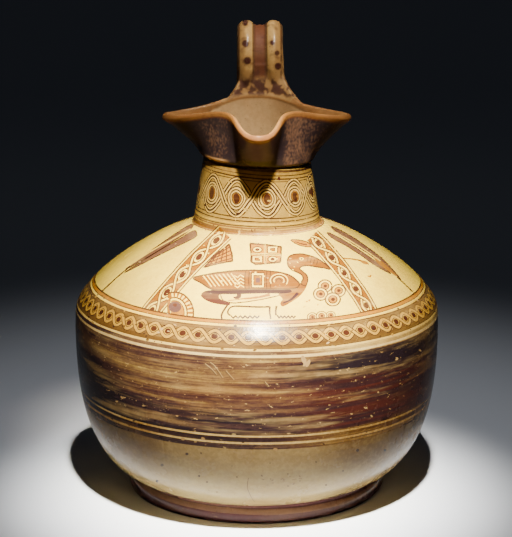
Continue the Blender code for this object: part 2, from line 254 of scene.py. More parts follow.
def wall_place(u, v):
    """Radius and height of a point of the sheet."""
    if v >= 0.0:
        return tuple(float(np.interp(v, WALL_LENGTH, column)) for column in WALL_LINE.T)
    share = v / V_TOP
    top = ledge_height(NECK_TOP_RADIUS * math.sin(u / 100)) - GROOVE_HEIGHT
    height = NECK_BASE_HEIGHT + (top - NECK_BASE_HEIGHT) * share
    return neck_radius(height), height


def on_jug(u, v):
    """The sheet wrapped around the jug."""
    radius, height = wall_place(u, v)
    return Vector((radius * math.sin(u / 100), -radius * math.cos(u / 100), height))


def wall_normal(u, v, reach=0.5):
    above, below = on_jug(u, max(v - reach, V_TOP)), on_jug(u, min(v + reach, V_END))
    down = below - above
    across = Vector((math.cos(u / 100), math.sin(u / 100), 0.0))
    return down.cross(across).normalized()


# The drawing on the sheet
def photo_point(u, v):
    """Where the fitted camera sees a point of the sheet, in the photograph's pixels."""
    place = on_jug(u, v)
    cos, sin = math.cos(CAMERA_TILT), math.sin(CAMERA_TILT)
    away = place.y + CAMERA_DISTANCE * cos
    over = place.z - TARGET_HEIGHT - CAMERA_DISTANCE * sin
    depth = away * cos - over * sin
    rise = away * sin + over * cos
    zoom = CAMERA_DISTANCE / depth / PIXEL
    return AXIS_COLUMN + place.x * zoom, PHOTO_HEIGHT / 2 - rise * zoom


def drift(place):
    """Three smooth values between -1 and 1 at a place, the same in every run."""
    steps = [Vector((away, 2.7 * away, 0.4 * away)) for away in (0.0, 31.7, 73.1)]
    return Vector([noise.noise(place + step) for step in steps])


def from_photo(point):
    """The point of the sheet that the fitted camera sees at a pixel, found by a few Newton steps."""
    x, y = point
    v = max((y - NECK_FOOT_ROW) * 0.82, -30.0)
    radius = wall_place(0.0, v)[0] / PIXEL * 1.06
    u = 100 * math.asin(min(max((x - AXIS_COLUMN) / radius, -0.97), 0.97))
    step = 0.2
    for _ in range(14):
        px, py = photo_point(u, v)
        ux, uy = photo_point(u + step, v)
        vx, vy = photo_point(u, v + step)
        a, b, c, d = (ux - px) / step, (vx - px) / step, (uy - py) / step, (vy - py) / step
        size = a * d - b * c
        if abs(size) < 1e-6:
            break
        move_u = (d * (x - px) - b * (y - py)) / size
        move_v = (a * (y - py) - c * (x - px)) / size
        u += min(max(move_u, -15.0), 15.0)
        v += min(max(move_v, -8.0), 8.0)
        u = min(max(u, -150.0), 150.0)
        v = min(max(v, V_TOP), V_END)
    return u, v


def at_angle(point):
    """A point given as degrees around the jug and millimetres down the wall."""
    return math.radians(point[0]) * 100, point[1]


def straight(point):
    return tuple(point)


class Sheet:
    """Outlines on the unrolled wall, each with a paint; later ones lie on top.

    The place is a function that takes the units in which figures are given to points of the sheet.
    """

    def __init__(self):
        self.shapes = []
        self.place = straight

    def wobbled(self, u, v):
        """A small shift that is smooth along the wall, as a hand makes it."""
        place = on_jug(u, v)
        reach = WOBBLE * (2.6 if v < -5.0 else 1.0)
        shift = drift(place * 160) * reach + drift(place * 620) * reach * 0.45
        fade = smooth_step(U_END - abs(u), 1.0, 8.0)
        return u + shift.x * fade * 100 * MM / wall_place(u, v)[0], v + shift.y

    def add(self, points, paint, place=None):
        spots = []
        for point in points:
            u, v = self.wobbled(*(place or self.place)(point))
            spots.append((min(max(u, -U_END), U_END), min(max(v, V_TOP), V_END)))
        twice_area = sum(a[0] * b[1] - b[0] * a[1] for a, b in zip(spots, spots[1:] + spots[:1]))
        if abs(twice_area) > 0.002:
            self.shapes.append((spots if twice_area > 0 else spots[::-1], paint))

    def stroke(self, points, width, paint, place=None, taper=(1.0, 1.0), vary=0.25):
        """A brush line of the width given, in the units of the points."""
        line = [Vector(p) for p in points]
        left, right = [], []
        for i, here in enumerate(line):
            along = (line[min(i + 1, len(line) - 1)] - line[max(i - 1, 0)]).normalized()
            across = Vector((-along.y, along.x))
            share = i / (len(line) - 1)
            half = width / 2 * (taper[0] + (taper[1] - taper[0]) * share)
            half *= 1 + vary * noise.noise(Vector((here.x * 0.31, here.y * 0.31, width)))
            left.append(here + across * half)
            right.append(here - across * half)
        self.add(left + right[::-1], paint, place)

    def curve(self, points, width=0.8, paint="line", taper=(1.0, 1.0)):
        """A brush line on a smooth curve through the points."""
        self.stroke([tuple(p) for p in through(points, 5)], width, paint, taper=taper)

    def corners(self, centre, across, up, paint):
        """A rectangle around the centre, from its half sizes."""
        signs = ((-1, -1), (1, -1), (1, 1), (-1, 1))
        self.add(dense([(centre[0] + x * across, centre[1] + y * up) for x, y in signs]), paint)

    def band(self, top, bottom, paint):
        """A ring of paint all around the jug."""
        spots = []
        for edge, order in ((top, 1), (bottom, -1)):
            row = []
            for i in range(COLUMNS + 1):
                angle = math.tau * (i / COLUMNS - 0.5)
                wave = noise.noise(Vector((math.sin(angle), math.cos(angle), edge * 0.37)) * 4)
                row.append((100 * angle, edge + BAND_TILT * math.sin(angle) + 0.22 * wave))
            spots += row[::order]
        spots = [(u, min(max(v, V_TOP), V_END)) for u, v in spots]
        self.shapes.append((spots if bottom > top else spots[::-1], paint))

    def oval(self, centre, across, up, paint, count=12, turn=0.0, place=None):
        points = []
        cos, sin = math.cos(turn), math.sin(turn)
        for i in range(count):
            angle = math.tau * i / count
            x, y = across * math.cos(angle), up * math.sin(angle)
            points.append((centre[0] + x * cos - y * sin, centre[1] + x * sin + y * cos))
        self.add(points, paint, place)

    def outlined(self, points, fill, width):
        """A filled outline with a brush line around it."""
        self.add(points, fill)
        half = len(points) // 2
        for part in (points[:half + 1], [*points[half:], points[0]]):
            self.stroke(part, width, "line")


def crossing_waves(spacing, wave, index, side, steps, start=0.0):
    """A strand from one loop's top or bottom to the next loop's, along x from start, around y = 0."""
    sign = side * (-1) ** index
    xs = [start + spacing * (index + 0.5 + i / steps) for i in range(steps + 1)]
    return [(x, -sign * wave * math.cos(math.pi * i / steps)) for i, x in enumerate(xs)]


def guilloche(sheet, place, start, spacing, count, half_height, eye, strand, line, paints):
    """Two crossing wave bands with an eye in each loop, along x from start, around y = 0."""
    ring, pupil, strand_paint, line_paint = paints
    wave = half_height - strand / 2 - line
    for index in range(count):
        middle = (start + spacing * (index + 0.5), 0.0)
        sheet.oval(middle, eye[0] + line, eye[1] + line, line_paint, 14, place=place)
        sheet.oval(middle, eye[0], eye[1], ring, 14, place=place)
        sheet.oval(middle, eye[2], eye[3], pupil, 10, place=place)
    for index in range(-1, count):
        rising = -1 if index % 2 == 0 else 1
        for side in (rising, -rising):
            whole = crossing_waves(spacing, wave, index, side, 10, start)
            part = [p for p in whole if start <= p[0] <= start + spacing * count + 1e-6]
            if len(part) > 2:
                sheet.stroke(part, strand + 2 * line, line_paint, place, vary=0.1)
                sheet.stroke(part, strand, strand_paint, place, vary=0.1)


# Rings as top, bottom and paint, in millimetres down the wall; a body ring goes down to the wall's end
NECK_RINGS = (
    (V_TOP, V_END, "neck"), (V_TOP, V_TOP + 1.4, "line"), (-35.4, -34.8, "line"), (-33.4, -32.6, "line"),
    (-31.6, -31.2, "line"), (-9.6, -8.9, "line"), (-7.4, -6.8, "line"), (-5.9, -5, "strand"),
    (-4.5, -4, "line"), (-3.5, 1.4, "band"), (-2.6, -2.1, "strand"), (-0.4, 0.2, "tan"),
    (1.4, V_END, "line"), (1.9, V_END, "cream"),
)
BORDER_RINGS = (
    (72, 72.9, "line"), (72.9, 74.6, "tan"), (74.6, 75.1, "line"), (75.1, 76.6, "strand"),
    (76.6, 77.3, "line"), (77.3, 89.6, "frieze"),
)
BODY_RINGS = (
    (89.4, "line"), (89.9, "neck_strand"), (91.2, "ring"), (93.4, "ring_strand"), (94.9, "ring"),
    (96, "glaze"), (141.8, "ring_strand"), (143, "ring"), (146.2, "ring_strand"), (147.6, "ring"),
    (150.8, "lower"),
)
# The lighter ring on the foot is painted light from the floor.
FOOT_RINGS = (
    (V_FOOT - 3, V_FOOT - 1.8, "line"), (V_FOOT - 0.8, V_END, "foot"),
    (V_FOOT + 2.2, V_FOOT + 5.6, "foot_painted_light"),
)


def rings(sheet):
    """The ground colours and the rings around the jug, from the neck down to the foot."""
    body = [(top, V_END, paint) for top, paint in BODY_RINGS]
    for ring in (*NECK_RINGS, *BORDER_RINGS, *body, *FOOT_RINGS):
        sheet.band(*ring)


NECK_EYES = 12
NECK_EYE_RINGS = (
    (7.2, "dark"), (6.5, "neck_strand"), (5.5, "dark"), (4.7, "neck_strand"), (3.8, "line"), (3.2, "ochre"),
)
NECK_STRANDS = ((4.0, "line"), (2.8, "neck_strand"), (1.0, "dark"))


def border(sheet):
    """The rings over the small frieze and its ground, once more over the feet of the figures."""
    for ring in BORDER_RINGS:
        sheet.band(*ring)


def neck_frieze(sheet):
    """Twelve large eyes with rings around the neck, between crossing waves."""
    centre_v = -21.0
    spacing = 2 * U_END / NECK_EYES
    first = 100 * math.radians(-50)

    def place(point):
        u = point[0] + first - spacing / 2
        return (u + U_END) % (2 * U_END) - U_END, centre_v + point[1]

    stretch = 100 * MM / wall_place(0, centre_v)[0]
    for index in range(NECK_EYES):
        chance = drift(Vector((index * 3.7, 1.3, 8.2)))
        middle = (spacing * (index + 0.5 + 0.05 * chance.x), 1.3 * chance.y)
        if abs(abs(place(middle)[0]) - U_END) < spacing / 2:
            continue
        for radius, paint in NECK_EYE_RINGS:
            sheet.oval(middle, radius * 0.86 * stretch, radius, paint, 22, place=place)
        sheet.oval(middle, 2.0 * stretch, 3.2, "pupil", place=place)
    for index in range(NECK_EYES):
        for side in (-1, 1):
            points = crossing_waves(spacing, 10.2, index, side, 14)
            spots = [place(p)[0] for p in points]
            if max(spots) - min(spots) > U_END:
                continue
            for width, paint in NECK_STRANDS:
                half_ribbon(sheet, points, width, paint, place, stretch)


def half_ribbon(sheet, points, width, paint, place, stretch):
    """A ribbon of even real width where u is stretched against v."""
    line = [Vector((p[0] / stretch, p[1])) for p in points]

    def squeezed(point):
        return place((point[0] * stretch, point[1]))

    sheet.stroke(line, width, paint, squeezed, vary=0.15)


def belly_frieze(sheet):
    """Small eyes between crossing waves around the widest part of the shoulder."""
    count = 70
    centre_v = 83.2

    def place(point):
        return point[0], centre_v + point[1] + BAND_TILT * math.sin(point[0] / 100)

    paints = ("rope", "pupil", "rope", "dark")
    eye = (2.9, 2.7, 1.9, 1.8)
    guilloche(sheet, place, -U_END, 2 * U_END / count, count, 4.9, eye, 1.6, 0.5, paints)


def figure_shape(points, per_span=5):
    return [tuple(p) for p in through(points, per_span, closed=True)]


# Bird and ornaments of the front panel, as pixels of the photograph's frame
BIRD_WING = (
    (193.3, 277.8), (205.5, 274.8), (221, 272.2), (237, 270.7), (252, 270.2), (267, 270.8), (281, 272.5),
    (290, 275.4), (295.5, 279.3), (299.5, 284), (296, 288), (284, 289), (262, 289), (240, 289.3),
    (222, 290), (211, 289), (202, 283.5),
)
BIRD_BACK = (
    (204, 291.6), (214, 289.8), (228, 289.9), (262, 289.6), (289, 289.4), (288, 293.2), (262, 293.4),
    (236, 294.2), (216, 293.8),
)
BIRD_TAIL = (
    (200.6, 295.4), (204.3, 291.5), (213.5, 290.2), (221, 292), (219, 296), (221, 299.5), (229, 302.6),
    (229, 305.2), (221, 304.6), (212, 302.7), (204.5, 299.4),
)
BIRD_BELLY = (
    (220.5, 293), (236, 293.4), (262, 293), (280, 292.6), (279, 295.3), (270, 297.6), (256.5, 300.3),
    (243, 302.2), (231, 302.8), (222.5, 299.5),
)
BIRD_DROP = ((237, 293), (241, 293), (240.5, 297.5), (235.5, 298.8), (233, 297), (236.5, 296))
BIRD_BREAST = (
    (286.5, 290.4), (297.3, 286.3), (302.3, 281), (307.3, 281), (306.3, 287), (301.3, 294.5), (293, 301),
    (283.3, 306.3), (280, 303.6), (282.4, 298.6), (278.3, 294.2),
)
BIRD_NECK = (
    (287.2, 261), (288.5, 257.3), (292.3, 254.8), (300.4, 253.7), (308.6, 255.2), (316, 258), (323, 262),
    (330.5, 269), (325, 268.2), (317.8, 267.2), (309.6, 265.8), (303, 266), (299.8, 268.4), (302.6, 271.3),
    (306.6, 275.2), (307.7, 280), (305.8, 285.6), (301, 283.6), (303, 278.5), (301, 274.4), (296.3, 272),
    (291.2, 269.6), (288, 265.8),
)
BIRD_REAR_LEG = ((227.5, 305), (223.4, 311), (221.4, 315.5), (221.8, 319))
BIRD_REAR_SHIN = (
    (269.8, 306.8), (256.5, 307.1), (243.3, 306.4), (233, 306.4), (228.6, 309.5), (227.9, 313.2),
    (230.5, 315.6),
)
BIRD_FRONT_LEG = (((270, 306.6), (269.6, 312), (270.6, 319)), ((276.6, 306), (275.8, 311), (276, 315.5)))
BIRD_TOES = (((231, 315.6), (259.5, 318.2), 6), ((277.3, 315.2), (295.4, 318.2), 5))
BIRD_BELLY_STRIPE = ((228, 300.6), (240, 299), (256, 297.6), (270, 294.6))
BIRD_BREAST_MARK = ((283, 303), (291, 299.5), (298, 293))
BIRD_EYE = (301.5, 258.8)
NECK_BARS_START = (308, 257.4)
WING_FEATHERS_START = (203, 274.8)
WING_FEATHERS_LOW = 287.8
WING_WAVES = (234.5, 275.4)
WING_BARS = (245.3, 249.2, 266.8, 270.6)
WING_BAR_ENDS = (271.4, 280, 288.8)
WING_SQUARE = (257.8, 280.2)
WING_SQUARE_PAINTS = ((7, "line"), (6.1, "strand"), (4.7, "line"), (3.8, "orange"), (2.1, "purple"))
WING_CURL = (279, 280.5)
WING_CURL_PAINTS = ((6.5, "strand"), (5.2, "line"), (3.8, "strand"), (1.8, "line"))
SQUARE_ORNAMENT = (
    (249.9, 243.4), (265, 244.6), (281.2, 246.9), (281, 254.6), (280.4, 262.2), (266, 263.6),
    (255.5, 264.3), (251, 261.7), (251.3, 254),
)
SQUARE_MIDDLE = (265, 254.4)
SQUARE_CROSS = (((265, 244.6), (265.4, 263.6)), ((251.3, 254), (281, 254.8)))
SQUARE_EYES = ((5.2, 3.4, "line"), (4.2, 2.5, "strand"), (2.2, 1.5, "line"), (1.2, 0.8, "red"))
SQUARE_BOXES = ((4.6, "line"), (3.8, "strand"), (2.2, "line"), (1.4, "orange"))
NET_ORNAMENT = ((216, 254.4), (229.2, 244.2), (231.6, 252.5), (232.7, 260.9), (219, 263.4), (203.8, 267.4))
LEAF_VEIN = ((295, 241.4), (301, 243.6), (307, 244.8))
LEAF_ORNAMENT = ((291, 239.6), (296, 243.6), (303, 246.2), (311.3, 246.6), (306, 241.4))
ROSETTE_PETALS = ((325, 286, 7.6), (320.6, 294, 7.8), (338.6, 290.6, 7.6), (332.8, 299.4, 8.2))
SMALL_ROSETTE_PETALS = ((312.3, 317, 5.4), (330.6, 315.2, 5), (321.6, 316, 5.8))
HALF_ROSETTE = (174.5, 313)
HALF_ROSETTE_ARCS = (
    (19.8, 21.5, "line"), (18.6, 20.3, "orange"), (13, 15.8, "line"), (12, 14.8, "strand"),
    (10.2, 12.8, "line"), (9.4, 12, "tan"),
)
LEFT_BAND = ((225, 232), (210.5, 246), (193.5, 262.5), (175, 283), (155.5, 305.5), (144, 320))
LEFT_BAND_WIDTH = 19
RIGHT_BAND = ((311.5, 236), (322.5, 247), (338.5, 265.5), (351.5, 283), (362.5, 299), (371, 314))
RIGHT_BAND_WIDTH = 17
LEFT_RAYS = (
    ((187.3, 225.8), (190, 230), (160, 249.5), (126, 269.6), (140, 258.5)),
    ((193, 230.8), (196.8, 233.6), (193, 238.6), (160, 254.6), (124, 273), (148, 257.6), (176, 240.8)),
)
LEFT_RAY_LINE = ((127, 269), (118, 276.4), (108, 285.6), (97, 296.2))
LEFT_RAY_GAP = ((190.5, 229), (173.6, 238.6), (158.3, 247), (143, 256.2), (130, 265))
RIGHT_RAY_GAP = ((335.7, 232.3), (353.6, 242.8), (367.9, 252.1), (380.4, 261))
RIGHT_RAYS = (
    ((331, 226.6), (337, 228.4), (350, 235.4), (362.5, 243.6), (374, 251.8), (385, 261), (401, 279.6),
     (388, 268.6), (374, 257.6), (356, 245.6), (339, 234.6)),
    ((327, 232.8), (334, 234.8), (352, 245.2), (368, 255.8), (381, 265.4), (391, 274), (374, 264.6),
     (360, 254.8), (345, 245.2), (333, 238.6)),
)
RIGHT_RAY_LINE = ((397, 277), (404, 283.4), (413, 292))
RIGHT_RAY_CORE = ((374, 256.4), (384, 263), (398, 277), (386, 269.4), (377, 262.4))
RIGHT_LEAF_END = (364.5, 262.4)
RIGHT_LEAF = ((337, 251), (341.8, 257.6), (351.8, 259), (362, 261), (368.8, 264.4))


def bird(sheet):
    """The water bird walking to the right."""
    def fill(points, paint):
        sheet.add(figure_shape(points), paint)

    fill(BIRD_BELLY, "strand")
    sheet.curve([*BIRD_BELLY[3:], BIRD_BELLY[0]], 1.1)
    fill(BIRD_TAIL, "red")
    sheet.curve(BIRD_BELLY_STRIPE, 2.2, "orange", (0.3, 1.2))
    fill(BIRD_BREAST, "brown")
    sheet.curve(BIRD_BREAST_MARK, 3.0, "plum", (0.4, 1.0))
    fill(BIRD_DROP, "drop")
    sheet.outlined(figure_shape(BIRD_NECK), "brown", 1.3)
    fill(BIRD_BACK, "plum")
    sheet.outlined(figure_shape(BIRD_WING), "brown", 1.4)
    for i in range(8):
        x, y = WING_FEATHERS_START[0] + 4 * i, WING_FEATHERS_START[1] - 0.36 * i
        sheet.curve(((x, y + 1), (x + 4, y + 6), (x + 8.6, min(y + 12, WING_FEATHERS_LOW))), 1.2, "strand")
    for i in range(4):
        x, y = WING_WAVES[0], WING_WAVES[1] + 3.4 * i
        wave = ((x, y), (x + 3, y + 2), (x + 6, y - 0.6), (x + 9.5, y + 1.6))
        sheet.stroke(dense(wave, 0.8, closed=False), 0.9, "strand")
    for x in WING_BARS:
        sheet.curve(list(zip((x, x - 0.6, x), WING_BAR_ENDS)), 1.0)
    for half, paint in WING_SQUARE_PAINTS:
        sheet.corners(WING_SQUARE, half * 0.95, half * 1.12, paint)
    x, y = WING_CURL
    for radius, paint in WING_CURL_PAINTS:
        sheet.stroke(arc((x, y), 1.35 * radius, radius, -0.6, 3.6, 14), 1.0, paint)
    sheet.oval(BIRD_EYE, 2.2, 1.5, "strand")
    sheet.oval(BIRD_EYE, 1.1, 0.9, "dark")
    for i in range(4):
        x, y = NECK_BARS_START[0] + 3.2 * i, NECK_BARS_START[1]
        sheet.curve(((x, y + 1.1 * i), (x - 1, y + 4.4 + i)), 0.9)
    sheet.curve(BIRD_REAR_LEG, 1.9)
    sheet.curve(BIRD_REAR_SHIN, 1.7)
    for leg in BIRD_FRONT_LEG:
        sheet.curve(leg, 1.8)
    for (x0, y0), (x1, y1), teeth in BIRD_TOES:
        points = []
        for i in range(2 * teeth + 1):
            share = i / (2 * teeth)
            points.append((x0 + (x1 - x0) * share, y1 + (0 if i % 2 else -2.4)))
        points[0] = (x0, y0)
        sheet.stroke(dense(points, 0.8, closed=False), 1.5, "line", vary=0.1)


def arc(centre, across, up, start, end, count):
    """Points of an upright oval's edge, counted from its right side upward."""
    turns = np.linspace(start, end, count)
    return [(centre[0] + across * math.cos(a), centre[1] - up * math.sin(a)) for a in turns]


def dense(points, step=1.2, closed=True):
    """The same outline with more points on its straight sides."""
    chain = [*points, points[0]] if closed else list(points)
    result = []
    for a, b in zip(chain, chain[1:]):
        count = max(int(math.dist(a, b) / step), 1)
        for i in range(count):
            result.append((a[0] + (b[0] - a[0]) * i / count, a[1] + (b[1] - a[1]) * i / count))
    return result if closed else [*result, chain[-1]]


def front_ornaments(sheet):
    """The square, the hatched corner, the leaf and the rosettes around the bird."""
    sheet.outlined(dense(SQUARE_ORNAMENT), "tan", 1.6)
    for points in SQUARE_CROSS:
        for width, paint in ((1.8, "strand"), (0.8, "line")):
            sheet.stroke(dense(points, closed=False), width, paint)
    x, y = SQUARE_MIDDLE
    for side in (-1, 1):
        for across, up, paint in SQUARE_EYES:
            sheet.oval((x + side * 7.6, y + side * 4.8), across, up, paint)
    for side in (1, -1):
        for half, paint in SQUARE_BOXES:
            sheet.corners((x + side * 7.6, y - side * 4.8), half * 1.2, half * 0.75, paint)
    sheet.outlined(dense(NET_ORNAMENT), "tan", 1.6)
    top, right, low, left = (Vector(NET_ORNAMENT[i]) for i in (0, 1, 3, 5))
    rising, falling = (top, left, right, low), (top, right, left, low)
    for ends, first, count, paint in ((rising, 0.7, 4.4, "red"), (falling, 0.8, 4.8, "line")):
        for i in range(4):
            share = (i + first) / count
            line = (ends[0].lerp(ends[1], share), ends[2].lerp(ends[3], share))
            sheet.stroke(dense(line, closed=False), 1.0, paint)
    sheet.outlined(figure_shape(LEAF_ORNAMENT, 4), "tan", 1.0)
    sheet.curve(LEAF_VEIN, 1.4, "red", (0.5, 1.0))
    for petals in (ROSETTE_PETALS, SMALL_ROSETTE_PETALS):
        for x, y, radius in petals:
            for size, paint in ((1.0, "line"), (0.82, "strand"), (0.6, "line"), (0.46, "tan")):
                sheet.oval((x, y), radius * size, radius * size * 0.88, paint, 16)
        for x, y, radius in petals:
            sheet.oval((x + 0.3, y), radius * 0.26, radius * 0.22, "pupil", 8)
    x, y = HALF_ROSETTE
    for across, up, paint in HALF_ROSETTE_ARCS:
        sheet.add([*arc((x, y), across, up, -0.25, 1.9, 20), (x - across * 0.35, y + 4)], paint)
    for ends in zip(arc((x, y), 13.4, 16.2, -0.1, 1.7, 9), arc((x, y), 18.2, 19.8, -0.1, 1.7, 9)):
        sheet.stroke(ends, 1.9, "strand")
    sheet.oval((x + 0.5, y - 6), 6.4, 5.6, "purple", 14)
    sheet.oval((x + 0.5, y - 8), 2.2, 1.8, "red", 10)


def oblique_band(sheet, middle, width, place, scale=1.0):
    """A guilloche between border lines that runs down the shoulder along the middle line given."""
    line = [Vector(p) for p in through(middle, 10)]
    lengths = np.concatenate(([0.0], np.cumsum([(b - a).length for a, b in zip(line, line[1:])])))
    total = float(lengths[-1])

    def along(point):
        x, y = point
        share = min(max(x, 0.0), total)
        index = min(int(np.searchsorted(lengths, share, side="right")) - 1, len(line) - 2)
        a, b = line[index], line[index + 1]
        ahead = (b - a).normalized()
        spot = a + ahead * (share - float(lengths[index]))
        return place((spot.x + ahead.y * y, spot.y - ahead.x * y))

    half = width / 2
    count = max(int(total / 1.6), 4)
    xs = [total * i / count for i in range(count + 1)]
    for inset, paint in ((0.0, "line"), (1.1, "strand"), (2.3, "line"), (3.1, "orange")):
        reach = half - inset * scale
        sheet.add([(x, -reach) for x in xs] + [(x, reach) for x in reversed(xs)], paint, along)
    eyes = 5
    spacing = total / eyes
    room = half - 3.1 * scale
    paints = ("strand", "pupil", "strand", "line")
    eye = (spacing * 0.27, room * 0.56, spacing * 0.18, room * 0.4)
    guilloche(sheet, along, 0.0, spacing, eyes, room, eye, 1.6 * scale, 0.9 * scale, paints)


def shoulder_panels(sheet):
    """The slanting bands and rays that part the shoulder, and plainer ones on the hidden side."""
    for rays, width in ((LEFT_RAYS, 0.8), (RIGHT_RAYS, 0.7)):
        for ray in rays:
            sheet.outlined(figure_shape(ray, 4), "ray", width)
    sheet.curve(LEFT_RAY_LINE, 1.3)
    sheet.curve(LEFT_RAY_GAP, 1.2, "strand")
    sheet.curve(RIGHT_RAY_LINE, 1.1)
    sheet.add(figure_shape(RIGHT_RAY_CORE, 4), "ochre")
    sheet.curve(RIGHT_RAY_GAP, 1.0, "strand")
    sheet.curve(RIGHT_LEAF, 1.2, "orange")
    sheet.oval(RIGHT_LEAF_END, 4.2, 1.6, "ochre", turn=0.35)
    oblique_band(sheet, LEFT_BAND, LEFT_BAND_WIDTH, from_photo)
    oblique_band(sheet, RIGHT_BAND, RIGHT_BAND_WIDTH, from_photo)
    for side in (-1, 1):
        shares = np.linspace(0, 1, 5)
        middle = [(side * (128 + 9 * share) * BACK_UNIT, 2 + 70 * share) for share in shares]
        oblique_band(sheet, middle, 9.0, back_place, 0.6)
    sheet.place = at_angle
    for angle in (-152, 152, -112, 112):
        for shift in (-3.2, 3.2):
            left, right = angle + shift - 2.6, angle + shift + 2.6
            lobe = ((left, 6), (right, 6), (angle + shift * 0.4, 34), (angle, 62))
            sheet.outlined(figure_shape(lobe, 6), "purple", 0.5)


BACK_UNIT = 1.25


def back_place(point):
    """Points in finer units than a degree, near to a millimetre in the middle of the shoulder."""
    return at_angle((point[0] / BACK_UNIT, point[1]))


# Touches of wear: how many, left, right, top, bottom, size, paints
WORN_END = U_END - 6
WEAR_MARKS = (
    (260, -WORN_END, WORN_END, 73, 91.5, 0.9, ("dark", "frieze", "chip", "rope", "frieze", "dark")),
    (150, -WORN_END, WORN_END, -34, -5, 1, ("neck", "line", "neck_strand", "neck")),
    (110, -95, 95, 4, 71, 0.7, ("cream", "cream", "strand")),
    (60, -WORN_END, WORN_END, -3.4, 1.6, 1.6, ("band", "purple", "neck_strand")),
    (70, -WORN_END, WORN_END, 141, 151, 1, ("dark", "lower", "chip")),
)


def wear_marks(sheet):
    """Small touches where paint has rubbed off or run, strewn over the painted rings, bands and figures."""
    chance = random.Random(11)
    for count, left, right, top, bottom, size, paints in WEAR_MARKS:
        for _ in range(count):
            centre = (chance.uniform(left, right), chance.uniform(top, bottom))
            across = size * chance.uniform(0.4, 1.3)
            up = across * chance.uniform(0.3, 0.8)
            sheet.oval(centre, across, up, chance.choice(paints), 8, chance.uniform(-0.6, 0.6))


def drawing():
    """The whole sheet; what is painted first lies lowest."""
    sheet = Sheet()
    for place, draw in (
        (straight, rings), (from_photo, shoulder_panels), (from_photo, front_ornaments), (from_photo, bird),
        (straight, border), (straight, neck_frieze), (straight, belly_frieze), (straight, wear_marks),
        (from_photo, age_marks),
    ):
        sheet.place = place
        draw(sheet)
    return sheet


# Marks of age, as pixels of the photograph's frame: across, down, size
LOWER_SPECKS = (
    (187, 454, 1.7), (201, 453, 0.9), (162, 465, 1.8), (157, 481, 1.5), (199, 476, 1.2), (207, 482, 1),
    (237, 477, 0.8), (288, 474, 0.8), (288, 486, 0.8), (326, 485, 1.1), (343, 471, 1), (357.5, 450.5, 1.9),
    (385, 450, 1.2), (316, 462, 0.9), (270, 463, 0.6), (232, 466, 0.6), (176, 497, 0.8), (351, 484, 0.7),
    (300, 481, 0.7), (217, 492, 0.6),
)
CHIPS = (
    (306, 361.5, 7), (397, 358.5, 2.4), (420, 350, 2.2), (340, 370, 1.6), (348, 369, 1.8),
    (337.5, 373, 1.4), (126, 366, 1.3), (122, 397, 2.6), (117, 402, 1.8), (108, 390, 1.6), (196, 419, 1.7),
    (217, 418, 1.5), (144, 406, 1.6), (246, 404, 1.4), (272, 407, 1.5), (303, 419, 1.4), (352, 414, 1.7),
    (366, 408, 1.9), (371, 416, 2), (390, 409, 1.3), (378, 392, 1.5), (340, 398, 1.2), (186, 402, 1.3),
    (158, 399, 1.1), (274, 363, 1.2), (231, 410, 1), (262, 420, 1.1), (329, 405, 1.2), (404, 396, 1.1),
    (166, 377, 0.9),
)
SCRATCHES = (
    ((204, 364), (211, 369.5), (216, 375)), ((209, 362.5), (214.5, 367), (222, 378)),
    ((225, 371), (233, 380)), ((264, 382), (268, 387)),
)
CRACK = ((248.4, 478), (247.6, 484), (247.8, 489), (251, 496.5), (254.8, 502))
SMUDGES = ((262, 477, 4), (272, 481, 5), (284, 479, 4), (294, 481, 5), (300, 478, 3))
PANEL_SMUDGES = ((369, 275.5, 2.6), (309, 301, 2.6), (318, 304, 1.4), (304, 307, 1.2))
NECK_WEAR = (
    (283.5, 190, 2.6, 1.3, "neck"), (300.5, 187, 2.4, 1.6, "neck"), (289, 207, 3, 1.2, "neck"),
    (262, 206.5, 2.8, 1, "neck"), (303, 201, 1.8, 1.4, "neck"), (294.5, 191, 2.2, 0.9, "ochre"),
    (292, 201.5, 2.6, 1.1, "line"), (297.5, 196, 1.6, 1.3, "ochre"), (279, 178.5, 2, 1.3, "red"),
    (230, 182, 2.2, 0.8, "neck"), (214, 186, 1.6, 1, "neck"), (246, 209, 3.2, 0.9, "neck"),
    (205.5, 205, 1.4, 1.2, "line"), (310, 192, 1.5, 3, "red"), (223, 209, 2.4, 0.8, "neck"),
    (269, 201, 2.2, 1, "neck"), (306, 182, 2, 1.2, "neck"), (238, 213, 2.6, 0.7, "line"),
)


def age_marks(sheet):
    """Specks, chips, scratches and the hairline crack."""
    for x, y, size in LOWER_SPECKS:
        sheet.oval((x, y), size, size * 0.8, "dark", 8, noise.noise(Vector((x, y, 0.0))) * 3)
    for x, y, size in CHIPS:
        for k in range(3):
            shift = drift(Vector((x * 0.7, y * 0.7, k * 9.1))) * size * 1.6
            across = size * (0.75 - 0.18 * k)
            sheet.oval((x + shift.x, y + shift.y * 0.5), across, across * 0.45, "chip", 8, shift.z * 0.4)
    for points in SCRATCHES:
        sheet.curve(points, 1.3, "scratch")
        sheet.curve([(x + 1.2, y - 0.3) for x, y in points], 0.6, "chip")
    sheet.curve(CRACK, 0.6)
    for x, y, across, up, paint in NECK_WEAR:
        sheet.oval((x, y), across, up, paint, 9, noise.noise(Vector((x, y, 2.0))) * 3)
    for x, y, size in SMUDGES:
        for k in range(5):
            shift = drift(Vector((x, y, k * 5.3))) * size * 1.8
            sheet.oval((x + shift.x, y + shift.y * 0.6), 0.9, 0.5, "scratch", 7)
    for x, y, size in PANEL_SMUDGES:
        for k in range(3):
            shift = drift(Vector((x, y, k * 5.3))) * size * 1.4
            sheet.oval((x + shift.x, y + shift.y), size * 0.4, size * 0.3, "tan", 7)


